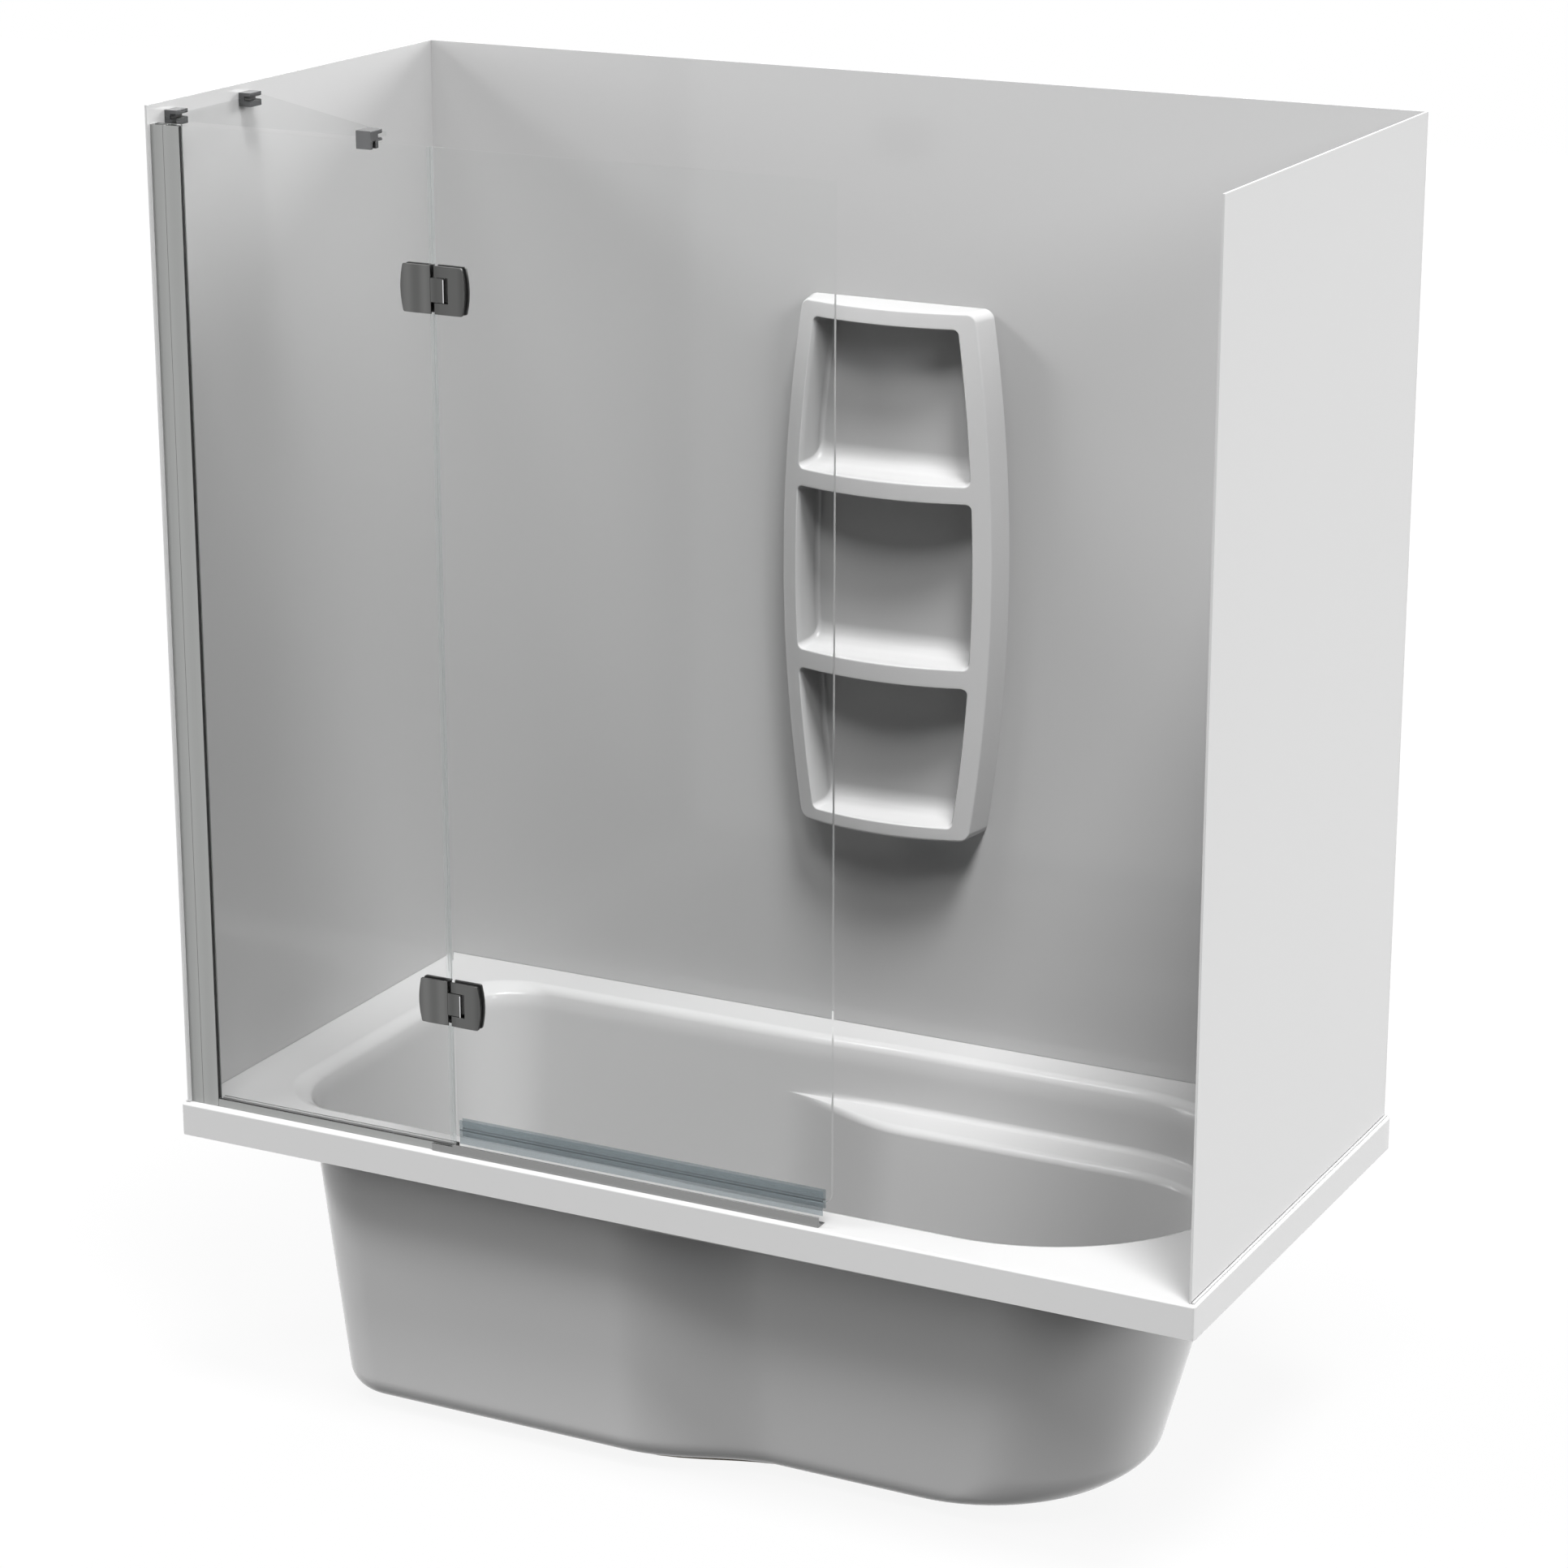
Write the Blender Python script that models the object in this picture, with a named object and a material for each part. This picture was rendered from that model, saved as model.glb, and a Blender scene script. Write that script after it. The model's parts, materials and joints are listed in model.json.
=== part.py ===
"""Shower bath: acrylic tub, three lining panels, moulded shelf and a hinged glass screen.

Frame: +Z up, front at -Y, origin at the middle of the underside of the base board.
Positions along the bath are written as distances from its left end, distances
from its front edge and heights from the top of its rim; rx, ry and rz turn
them into the part's own frame.
"""
import math

import bmesh
import bpy

# Whole bath
LENGTH = 1.600
DEPTH = 0.760
TUB_DEPTH = 0.487
BOARD_THICK = 0.018
JOINT = 0.0003
RIM_TOP = BOARD_THICK + JOINT + TUB_DEPTH

# Tub shell
SHELL = 0.005
SKIRT_TALL = 0.0495
RIM_EDGE_R = 0.0035
SKIRT_CORNER_R = 0.004
RIM_LEFT_WIDE = 0.108
RIM_RIGHT_WIDE = 0.081
OPEN_LEFT = RIM_LEFT_WIDE
OPEN_RIGHT = LENGTH - RIM_RIGHT_WIDE
OPEN_HALF = 0.292
OPEN_FLARE = 0.008
OPEN_CORNER_R = 0.104
WALL_CORNER_R = 0.128
WALL_LEFT_STEP = 0.004
LIP_R = 0.018
WALL_DRAFT = 0.110
END_DRAFT = 0.270
LEDGE_DOWN = 0.093
LEDGE_WIDE = 0.065
LEDGE_END = 0.0335
LEDGE_FALL = 0.002
LEDGE_INNER_R = 0.010
LEDGE_NOSE_R = 0.012
WAIST_FROM_SHARE = 0.4125
WAIST_TO_SHARE = 0.5500
WAIST_FROM = LENGTH * WAIST_FROM_SHARE
WAIST_TO = LENGTH * WAIST_TO_SHARE
FLOOR_R = 0.036
END_SWEEP_TALL = 0.072
END_SWEEP_RUN = 0.135
CORNER_STEPS = 8
END_STEPS = 28
WAIST_STEPS = 8
PLAIN_STEPS = 3
LEFT_STEPS = 3
LIP_STEPS = 4
LEDGE_STEPS = 3
FLOOR_STEPS = 5
SWEEP_STEPS = 2

# Base board and waste
BOARD_INSET = 0.025
WASTE_X = 0.300
WASTE_BORE_R = 0.0220
WASTE_TUBE_R = 0.0260
WASTE_FLANGE_R = 0.0350
WASTE_FLANGE_THICK = 0.0022
WASTE_TAIL_CLEAR = 0.0020
WASTE_GASKET_THICK = 0.0020
WASTE_GASKET_R = 0.0350
WASTE_NUT_THICK = 0.0060
WASTE_NUT_R = 0.0380
WASTE_NUT_SIDES = 6
BOARD_HOLE_R = 0.0500
PLUG_CAP_R = 0.0300
PLUG_CAP_THICK = 0.0022
PLUG_DOME = 0.0012
PLUG_SKIRT_R = 0.0205
PLUG_SKIRT_DEEP = 0.0080
ROUND_STEPS = 40

# Lining panels
PANEL = 0.0035
PANEL_INSET = 0.0070
PANEL_FRONT = 0.0060
PANEL_TALL = 1.465
BEAD = 0.0030
PANEL_REBATE = 0.0006

# Shelf unit
SHELF_SHIFT = 0.0022
SHELF_X = LENGTH / 2 + SHELF_SHIFT
SHELF_TOP = 1.1352
SHELF_LOW = 0.3385
SHELF_HALF_END = 0.1488
SHELF_HALF_MID = 0.1807
SHELF_DEEP = 0.0425
SHELF_DRAFT = 0.0095
SHELF_BOW_R = 0.407
SHELF_CORNER_R = 0.014
SHELF_FOOT_DROP = 0.0025
SHELF_FOOT_TALL = 0.0500
SHELF_EDGE_R = 0.0035
SHELF_EDGE_STEPS = 3
SHELF_END_SHARES = (0.0, 0.06, 0.18, 0.36, 0.64)
SHELF_ROWS = 14
SHELF_COLUMNS = 12
SHELF_BACK = 0.005
SHELF_BORDER = 0.0275
POCKET_HEIGHTS = ((0.882, 1.1100), (0.6055, 0.8545), (0.3570, 0.5755))
POCKET_CORNER_R = 0.009
POCKET_SIDE_INSET = 0.013
POCKET_LOW_INSET = 0.006
POCKET_TOP_INSET = 0.004
POCKET_BACK_R = 0.010
POCKET_CORNER_STEPS = 4
POCKET_SIDE_STEPS = 5
POCKET_REACH = 0.120
POCKET_BACK_SHARES = ((1.30, 0.0), (1.05, 0.15), (0.90, 0.50), (0.80, 1.0))
SHELF_BOW_SPARE = 0.012

# Screen plane and glass
GLASS = 0.006
SCREEN_Y = 0.0210
SCREEN_DROP = 0.0270
SCREEN_TOP = PANEL_TALL - SCREEN_DROP
FIXED_GLASS_LEFT = 0.0360
FIXED_GLASS_RIGHT = 0.4539
FIXED_GLASS_LOW = 0.0040
DOOR_LEFT = 0.4600
DOOR_RIGHT = 1.0585
DOOR_LOW = 0.0353
DOOR_CORNER_R = 0.013

# Jamb, rail and sill
JAMB_FRONT = 0.0120
JAMB_BACK = 0.0300
JAMB_WALL = 0.0016
WALL_CHANNEL_WIDE = 0.0204
GLAZING_CHANNEL_RIGHT = 0.0575
TONGUE_LEFT = 0.0180
TONGUE_HALF = 0.0040
GASKET_THICK = 0.0038
GASKET_BITE = 0.0110
GASKET_SHOW = 0.0040
RAIL_FRONT = 0.0122
RAIL_BACK = 0.0298
RAIL_WALL = 0.0014
RAIL_TALL = 0.0120
RAIL_RIGHT = 0.4594
RAIL_GASKET_SHOW = 0.0010
RAIL_GASKET_LOW = 0.0020
RAIL_GASKET_THICK = 0.0036
SILL_FRONT = 0.0088
SILL_WEB = 0.0018
SILL_RIGHT = 1.0433
SILL_REST = 0.0003
SILL_BEAD_R = 0.0015
SILL_TALL = 0.0150
SILL_BACK = 0.0280
SILL_LEAF = 0.0017
COVE_SHARES = ((0.03, 0.80), (0.10, 0.50), (0.25, 0.22), (0.50, 0.06))
TONGUE_FROM = 0.4257
SILL_TONGUE_TALL = 0.0114

# Door bottom seal and side seals
SEAL_LEFT = 0.4680
SEAL_RIGHT = 1.0463
SEAL_TOP = 0.0515
SEAL_WALL = 0.0018
SEAL_WEB_THICK = 0.0021
SEAL_SKIRT_LOW = 0.0270
SEAL_LIP_LOW = 0.0156
SEAL_LIP_THICK = 0.0010
SEAL_BACK_LOW = 0.0240
SIDE_SEAL_WALL = 0.0008
SIDE_SEAL_BITE = 0.0025
SIDE_SEAL_WEB = 0.0012
SIDE_SEAL_NOSE = 0.4590
SIDE_SEAL_NOSE_HALF = 0.0020
SIDE_SEAL_END_GAP = 0.0007

# Hinges
UPPER_HINGE_DROP = 0.1917
LOWER_HINGE_UP = 0.2261
HINGE_HEIGHTS = (("upper", SCREEN_TOP - UPPER_HINGE_DROP), ("lower", LOWER_HINGE_UP))
AXIS_X = 0.4650
HINGE_HALF_TALL = 0.0330
PLATE = 0.0034
PAD = 0.0010
PLATE_FIXED_EDGE = 0.4545
PLATE_DOOR_EDGE = 0.4600
PLATE_WIDE = 0.0440
PLATE_BULGE = 0.0037
PLATE_CORNER_R = 0.0030
BULGE_STEPS = 6
PAD_INSET = 0.0005
PAD_EDGE_CLEAR = 0.0010
KNUCKLE_RIGHT = 0.4760
KNUCKLE_HALF_TALL = 0.0166
KNUCKLE_LEFT = 0.4549
KNUCKLE_ROUND_R = 0.0035
KNUCKLE_TRIM = 0.0001
NOTCH_RIGHT = 0.4820
NOTCH_CLEAR = 0.0008
LUG_LEFT = 0.4603
LUG_RIGHT = 0.4700
LUG_LOW = 0.0180
LUG_HIGH = 0.0290
LUG_CAP = 0.0020
PLATE_OVERLAP = 0.0020
CUTOUT_RIGHT = 0.4832
CUTOUT_HALF_TALL = 0.0298
PIN_R = 0.0025
PIN_END_GAP = 0.0005
PIN_STEPS = 24
SCREW_R = 0.0025
SCREW_HEAD_R = 0.0042
SCREW_HEAD_THICK = 0.0018
SCREW_TIP_BITE = 0.0022
SCREW_SOCKET_R = 0.0016
SCREW_SOCKET_DEEP = 0.0010
SCREW_STEPS = 16
GLASS_HOLE_R = 0.0050
SCREW_OFFSET_Z = 0.0190
FIXED_SCREW_X = 0.4330
DOOR_SCREW_X = 0.4950

# Brace
BRACE_THICK = 0.005
BRACKET_RISE = 0.0151
BRACKET_TOP = SCREEN_TOP + BRACKET_RISE
BRACKET_PRONG = 0.0052
LINER = 0.0004
BRACKET_LEFT = 0.3444
BRACKET_RIGHT = 0.3681
BRACKET_FRONT = 0.0118
BRACKET_BACK = 0.0415
BRACKET_LAP = 0.0096
BRACKET_LOW = SCREEN_TOP - BRACKET_LAP
BRACKET_STEP = SCREEN_TOP - JOINT
BRACKET_FOOT_BACK = 0.0313
BRACKET_SLOT_DEEP = 0.0107
SADDLE_LINER = 0.0005
WALL_BRACKET_WIDE = 0.0200
WALL_BRACKET_TALL = 0.0204
WALL_BRACKET_LONG = 0.0280
WALL_BRACKETS = (("front", 0.0470), ("rear", 0.2290))
WALL_BRACKET_SLOT = 0.0104
LINER_TRIM = 0.0005
BRACE_SLOPE = 0.6263
BRACE_BACK = 0.2700
BRACE_RIGHT = 0.3670

WHITE = (0.86, 0.86, 0.86, 1.0)
PANEL_WHITE = (0.80, 0.80, 0.80, 1.0)
BOARD_TAN = (0.62, 0.55, 0.44, 1.0)
SATIN = (0.55, 0.56, 0.55, 1.0)
GREY_METAL = (0.20, 0.20, 0.20, 1.0)
CHROME = (0.80, 0.80, 0.82, 1.0)
BLACK = (0.02, 0.02, 0.02, 1.0)
CLEAR = (0.90, 0.94, 0.93, 1.0)
SMOKE = (0.36, 0.41, 0.44, 1.0)


def rx(along):
    """Distance from the left end to X."""
    return along - LENGTH / 2


def ry(back):
    """Distance from the front edge to Y."""
    return back - DEPTH / 2


def rz(up):
    """Height over the rim to Z."""
    return up + RIM_TOP


def clear_scene():
    for ob in list(bpy.data.objects):
        bpy.data.objects.remove(ob, do_unlink=True)


def paint(ob, colour, metallic, roughness, transmission):
    mat = bpy.data.materials.new(ob.name + "_finish")
    mat.use_nodes = True
    shader = mat.node_tree.nodes["Principled BSDF"]
    shader.inputs["Base Color"].default_value = colour
    shader.inputs["Metallic"].default_value = metallic
    shader.inputs["Roughness"].default_value = roughness
    shader.inputs["Transmission Weight"].default_value = transmission
    ob.data.materials.clear()
    ob.data.materials.append(mat)


def add_object(name, bm, origin=None):
    """Makes a scene object of bm; origin is the point its own frame starts at."""
    bmesh.ops.recalc_face_normals(bm, faces=bm.faces)
    if origin is not None:
        bmesh.ops.translate(bm, verts=bm.verts, vec=[-v for v in origin])
    mesh = bpy.data.meshes.new(name)
    bm.to_mesh(mesh)
    bm.free()
    ob = bpy.data.objects.new(name, mesh)
    if origin is not None:
        ob.location = origin
    bpy.context.scene.collection.objects.link(ob)
    return ob


def prism_mesh(outline, axis, low, high, bm=None):
    """Straight bar with the given 2-D outline between low and high on one axis.

    It goes into bm where one is given, beside what is there.
    """
    bm = bm or bmesh.new()
    ends = []
    for level in (low, high):
        ring = []
        for a, b in outline:
            point = {"x": (level, a, b), "y": (a, level, b), "z": (a, b, level)}[axis]
            ring.append(bm.verts.new(point))
        ends.append(ring)
    count = len(outline)
    for i in range(count):
        j = (i + 1) % count
        bm.faces.new((ends[0][i], ends[0][j], ends[1][j], ends[1][i]))
    bm.faces.new(ends[0])
    bm.faces.new(ends[1])
    return bm


def prism(name, outline, axis, low, high, origin=None):
    return add_object(name, prism_mesh(outline, axis, low, high), origin)


def block(name, x_range, y_range, z_range, origin=None):
    x0, x1 = x_range
    y0, y1 = y_range
    return prism(name, [(x0, y0), (x1, y0), (x1, y1), (x0, y1)], "z", z_range[0], z_range[1], origin)


def ring_surface(rings, close=False):
    """Skins rings of equal length; the two end rings are capped, or joined when close."""
    bm = bmesh.new()
    rows = [[bm.verts.new(p) for p in ring] for ring in rings]
    pairs = list(zip(rows, rows[1:]))
    if close:
        pairs.append((rows[-1], rows[0]))
    for low, high in pairs:
        count = len(low)
        for i in range(count):
            j = (i + 1) % count
            bm.faces.new((low[i], low[j], high[j], high[i]))
    if not close:
        bm.faces.new(rows[0])
        bm.faces.new(rows[-1])
    return bm


def circle(cx, cy, radius, steps):
    turn = 2 * math.pi / steps
    return [(cx + radius * math.cos(i * turn), cy + radius * math.sin(i * turn)) for i in range(steps)]


def turned(name, profile, centre, steps, close=True, origin=None):
    """Turns a profile of (radius, height) about a vertical line through centre."""
    rings = []
    for radius, height in profile:
        rings.append([(x, y, height) for x, y in circle(centre[0], centre[1], radius, steps)])
    return add_object(name, ring_surface(rings, close), origin)


def apply_boolean(target, other, kind):
    """Joins other to target or takes it out of it, and removes other."""
    other.hide_render = True
    other.display_type = "WIRE"
    change = target.modifiers.new("change", "BOOLEAN")
    change.operation = kind
    change.solver = "EXACT"
    change.object = other
    graph = bpy.context.evaluated_depsgraph_get()
    graph.update()
    made = bpy.data.meshes.new_from_object(target.evaluated_get(graph))
    target.modifiers.clear()
    target.data = made
    bpy.data.objects.remove(other, do_unlink=True)
    return target


def cut(target, other):
    return apply_boolean(target, other, "DIFFERENCE")


def join(target, other):
    return apply_boolean(target, other, "UNION")


def smooth_share(value):
    value = min(max(value, 0.0), 1.0)
    return value * value * (3 - 2 * value)


def waist_share(along):
    return smooth_share((along - WAIST_FROM) / (WAIST_TO - WAIST_FROM))


def side_stations(start, end):
    """Places along a long side where the ring has a point: dense through the waist."""
    stations = []
    for i in range(PLAIN_STEPS):
        stations.append(start + (WAIST_FROM - start) * i / PLAIN_STEPS)
    for i in range(WAIST_STEPS):
        stations.append(WAIST_FROM + (WAIST_TO - WAIST_FROM) * i / WAIST_STEPS)
    for i in range(PLAIN_STEPS):
        stations.append(WAIST_TO + (end - WAIST_TO) * i / PLAIN_STEPS)
    return stations


def plan_ring(inset, end_inset, squeeze, flare, below=0.0):
    """Plan outline of the bowl: square left end, waisted sides, half-round right end.

    inset moves the left end and the sides inward, end_inset the right end,
    squeeze narrows the part right of the waist and flare widens it. below is
    0 at the rim and 1 under its lip, where the left corners are rounder.
    """
    left = OPEN_LEFT + inset + WALL_LEFT_STEP * below
    half = OPEN_HALF - inset
    right_half = half - squeeze + flare
    centre = OPEN_RIGHT - end_inset - right_half
    corner = OPEN_CORNER_R + (WALL_CORNER_R - OPEN_CORNER_R) * below - inset
    ring = []
    for i in range(CORNER_STEPS):
        angle = math.pi + math.pi / 2 * i / CORNER_STEPS
        ring.append((left + corner + corner * math.cos(angle), -half + corner + corner * math.sin(angle)))
    stations = side_stations(left + corner, centre)
    sides = [(x, half - (half - right_half) * waist_share(x)) for x in stations]
    ring += [(x, -y) for x, y in sides]
    for i in range(END_STEPS + 1):
        angle = -math.pi / 2 + math.pi * i / END_STEPS
        ring.append((centre + right_half * math.cos(angle), right_half * math.sin(angle)))
    ring += list(reversed(sides))
    for i in range(1, CORNER_STEPS + 1):
        angle = math.pi / 2 + math.pi / 2 * i / CORNER_STEPS
        ring.append((left + corner + corner * math.cos(angle), half - corner + corner * math.sin(angle)))
    straight = half - corner
    for i in range(1, LEFT_STEPS):
        ring.append((left, straight - 2 * straight * i / LEFT_STEPS))
    return ring


def corner_indices():
    """Ring places that belong to the four corners of the rim."""
    sides = 2 * PLAIN_STEPS + WAIST_STEPS
    front_left = CORNER_STEPS // 2
    end_start = CORNER_STEPS + sides
    front_right = end_start + END_STEPS // 4
    back_right = end_start + END_STEPS * 3 // 4
    back_left = end_start + END_STEPS + sides + CORNER_STEPS // 2
    return front_left, front_right, back_right, back_left


def rim_ring(inset, radius):
    """Rim rectangle with as many points as a plan ring, corners rounded by radius."""
    guide = plan_ring(0, 0, 0, 0)
    count = len(guide)
    marks = corner_indices()
    x0, x1 = inset, LENGTH - inset
    y0, y1 = -DEPTH / 2 + inset, DEPTH / 2 - inset
    corners = ((x0, y0), (x1, y0), (x1, y1), (x0, y1))
    inward = ((1, 1), (-1, 1), (-1, -1), (1, -1))
    slant = radius * (1 - math.sqrt(0.5))
    ring = [None] * count
    for k in range(4):
        here, there = corners[k], corners[(k + 1) % 4]
        along = [(there[c] > here[c]) - (there[c] < here[c]) for c in (0, 1)]
        first = [here[c] + along[c] * radius for c in (0, 1)]
        last = [there[c] - along[c] * radius for c in (0, 1)]
        ring[marks[k]] = (here[0] + inward[k][0] * slant, here[1] + inward[k][1] * slant)
        span = (marks[(k + 1) % 4] - marks[k]) % count
        lengths = [0.0]
        for step in range(2, span):
            p = guide[(marks[k] + step - 1) % count]
            q = guide[(marks[k] + step) % count]
            lengths.append(lengths[-1] + math.dist(p, q))
        for step, done in enumerate(lengths):
            share = done / lengths[-1]
            place = tuple(first[c] + (last[c] - first[c]) * share for c in (0, 1))
            ring[(marks[k] + 1 + step) % count] = place
    return ring


def end_sweep(height):
    """Further inset of the right end where its foot sweeps into the floor, a quarter ellipse."""
    share = min(max(1 - (height - SHELL + TUB_DEPTH) / END_SWEEP_TALL, 0.0), 1.0)
    return END_SWEEP_RUN * (1 - math.sqrt(1 - share * share))


def bowl_levels():
    """Levels of the bowl face from the rim down.

    Each is (inset, end inset, ledge share, height, normal inward, normal down).
    """
    levels = []
    lean = math.atan(WALL_DRAFT)
    for i in range(LIP_STEPS + 1):
        angle = math.pi / 2 - (math.pi / 2 - lean) * i / LIP_STEPS
        inset = LIP_R * (math.cos(angle) - 1)
        levels.append((inset, inset, 0.0, LIP_R * (math.sin(angle) - 1), math.cos(angle), math.sin(angle)))

    def wall_inset(height):
        return -WALL_DRAFT * height

    ledge_foot = -LEDGE_DOWN - LEDGE_FALL - LEDGE_NOSE_R

    def end_inset(height):
        lower = max(ledge_foot - height, 0.0)
        return wall_inset(height) + (END_DRAFT - WALL_DRAFT) * lower

    def add(share, height, inward, down):
        levels.append((wall_inset(height), end_inset(height), share, height, inward, down))

    for i in range(LEDGE_STEPS + 1):
        angle = math.pi / 2 * i / LEDGE_STEPS
        run = LEDGE_INNER_R * (1 - math.cos(angle))
        add(run / LEDGE_WIDE, -LEDGE_DOWN + LEDGE_INNER_R * (1 - math.sin(angle)), 1.0, math.sin(angle))
    for i in range(LEDGE_STEPS + 1):
        angle = math.pi / 2 * i / LEDGE_STEPS
        run = LEDGE_WIDE - LEDGE_NOSE_R * (1 - math.sin(angle))
        height = -LEDGE_DOWN - LEDGE_FALL - LEDGE_NOSE_R * (1 - math.cos(angle))
        add(run / LEDGE_WIDE, height, 1.0, math.cos(angle))
    floor = SHELL - TUB_DEPTH
    start = floor + FLOOR_R * (1 - math.sin(lean))
    for i in range(SWEEP_STEPS):
        height = floor + END_SWEEP_TALL - (floor + END_SWEEP_TALL - start) * i / SWEEP_STEPS
        end = end_inset(height) + end_sweep(height)
        levels.append((wall_inset(height), end, 1.0, height, math.cos(lean), math.sin(lean)))
    for i in range(FLOOR_STEPS + 1):
        angle = lean + (math.pi / 2 - lean) * i / FLOOR_STEPS
        height = floor + FLOOR_R * (1 - math.sin(angle))
        run = FLOOR_R * (math.cos(lean) - math.cos(angle))
        end = end_inset(start) + run + end_sweep(height)
        levels.append((wall_inset(start) + run, end, 1.0, height, math.cos(angle), math.sin(angle)))
    return levels


def level_ring(level, thick):
    """Ring of one bowl level, moved into the shell's thickness by thick."""
    inset, end, share, height, inward, down = level
    ring = plan_ring(
        inset - thick * inward,
        end + LEDGE_END * share - thick * inward,
        LEDGE_WIDE * share,
        OPEN_FLARE,
        smooth_share(-height / LIP_R),
    )
    z = rz(height - thick * down)
    return [(rx(x), y, z) for x, y in ring]


def rim_level(inset, radius, height):
    return [(rx(x), y, rz(height)) for x, y in rim_ring(inset, radius)]


def tub_shell():
    levels = bowl_levels()
    rings = [level_ring(level, SHELL) for level in reversed(levels)]
    rings.append(rim_level(SHELL, SKIRT_CORNER_R / 2, -SHELL))
    rings.append(rim_level(SHELL, SKIRT_CORNER_R / 2, -SKIRT_TALL))
    rings.append(rim_level(0, SKIRT_CORNER_R, -SKIRT_TALL))
    for i in range(3):
        angle = math.pi / 4 * i
        inset = RIM_EDGE_R * (1 - math.cos(angle))
        height = -RIM_EDGE_R * (1 - math.sin(angle))
        rings.append(rim_level(inset, SKIRT_CORNER_R, height))
    rings += [level_ring(level, 0) for level in levels]
    shell = add_object("tub_shell", ring_surface(rings))
    floor = rz(SHELL - TUB_DEPTH)
    seat = floor - WASTE_FLANGE_THICK - JOINT
    low = rz(-TUB_DEPTH) - SHELL
    profile = [
        (WASTE_TUBE_R + JOINT, low),
        (WASTE_TUBE_R + JOINT, seat),
        (WASTE_FLANGE_R + JOINT, seat),
        (WASTE_FLANGE_R + JOINT, floor + SHELL),
    ]
    cutter = turned("waste_cutter", profile, (rx(WASTE_X), 0.0), ROUND_STEPS, close=False)
    cut(shell, cutter)
    paint(shell, WHITE, 0.0, 0.12, 0.0)


def base_board():
    """Stiffening board bonded under the flat of the tub's floor; the bath rests on it."""
    level = bowl_levels()[-1]
    inset = level[0] + BOARD_INSET
    ring = plan_ring(inset, level[1] + LEDGE_END + BOARD_INSET, LEDGE_WIDE, OPEN_FLARE, 1.0)
    outline = [(rx(x), y) for x, y in ring]
    board = prism("base_board", outline, "z", 0.0, BOARD_THICK)
    hole = circle(rx(WASTE_X), 0.0, BOARD_HOLE_R, ROUND_STEPS)
    cut(board, prism("board_cutter", hole, "z", -BOARD_THICK, 2 * BOARD_THICK))
    paint(board, BOARD_TAN, 0.0, 0.7, 0.0)


def waste():
    centre = (rx(WASTE_X), 0.0)
    floor = rz(SHELL - TUB_DEPTH)
    under = rz(-TUB_DEPTH)
    flange_low = floor - WASTE_FLANGE_THICK
    body = turned(
        "waste_body",
        [
            (WASTE_BORE_R, WASTE_TAIL_CLEAR),
            (WASTE_TUBE_R, WASTE_TAIL_CLEAR),
            (WASTE_TUBE_R, flange_low),
            (WASTE_FLANGE_R, flange_low),
            (WASTE_FLANGE_R, floor),
            (WASTE_BORE_R, floor),
        ],
        centre,
        ROUND_STEPS,
    )
    paint(body, CHROME, 1.0, 0.12, 0.0)
    inner = WASTE_TUBE_R + JOINT
    gasket_top = under - JOINT
    gasket_low = gasket_top - WASTE_GASKET_THICK
    gasket = turned(
        "waste_gasket",
        [
            (inner, gasket_low),
            (WASTE_GASKET_R, gasket_low),
            (WASTE_GASKET_R, gasket_top),
            (inner, gasket_top),
        ],
        centre,
        ROUND_STEPS,
    )
    paint(gasket, BLACK, 0.0, 0.6, 0.0)
    nut_top = gasket_low - JOINT
    nut_low = nut_top - WASTE_NUT_THICK
    nut_side = circle(centre[0], centre[1], WASTE_NUT_R, WASTE_NUT_SIDES)
    nut = prism("waste_nut", nut_side, "z", nut_low, nut_top)
    bore = circle(centre[0], centre[1], inner, ROUND_STEPS)
    cut(nut, prism("nut_cutter", bore, "z", nut_low - JOINT, nut_top + JOINT))
    paint(nut, GREY_METAL, 0.0, 0.5, 0.0)
    cap_low = floor + JOINT
    plug = turned(
        "waste_plug",
        [
            (PLUG_SKIRT_R, cap_low - PLUG_SKIRT_DEEP),
            (PLUG_SKIRT_R, cap_low),
            (PLUG_CAP_R, cap_low),
            (PLUG_CAP_R, cap_low + PLUG_CAP_THICK - PLUG_DOME),
            (PLUG_CAP_R - PLUG_DOME, cap_low + PLUG_CAP_THICK),
        ],
        centre,
        ROUND_STEPS,
        close=False,
        origin=(centre[0], centre[1], cap_low),
    )
    paint(plug, CHROME, 1.0, 0.12, 0.0)


def sheet_section(outer, inner):
    """Upright section of a sheet; its foot is rebated on the outside for the base bead."""
    step = outer + PANEL_REBATE * (1 if inner > outer else -1)
    foot = rz(BEAD + JOINT)
    low, high = rz(JOINT), rz(PANEL_TALL)
    return [(step, low), (inner, low), (inner, high), (outer, high), (outer, foot), (step, foot)]


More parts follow.
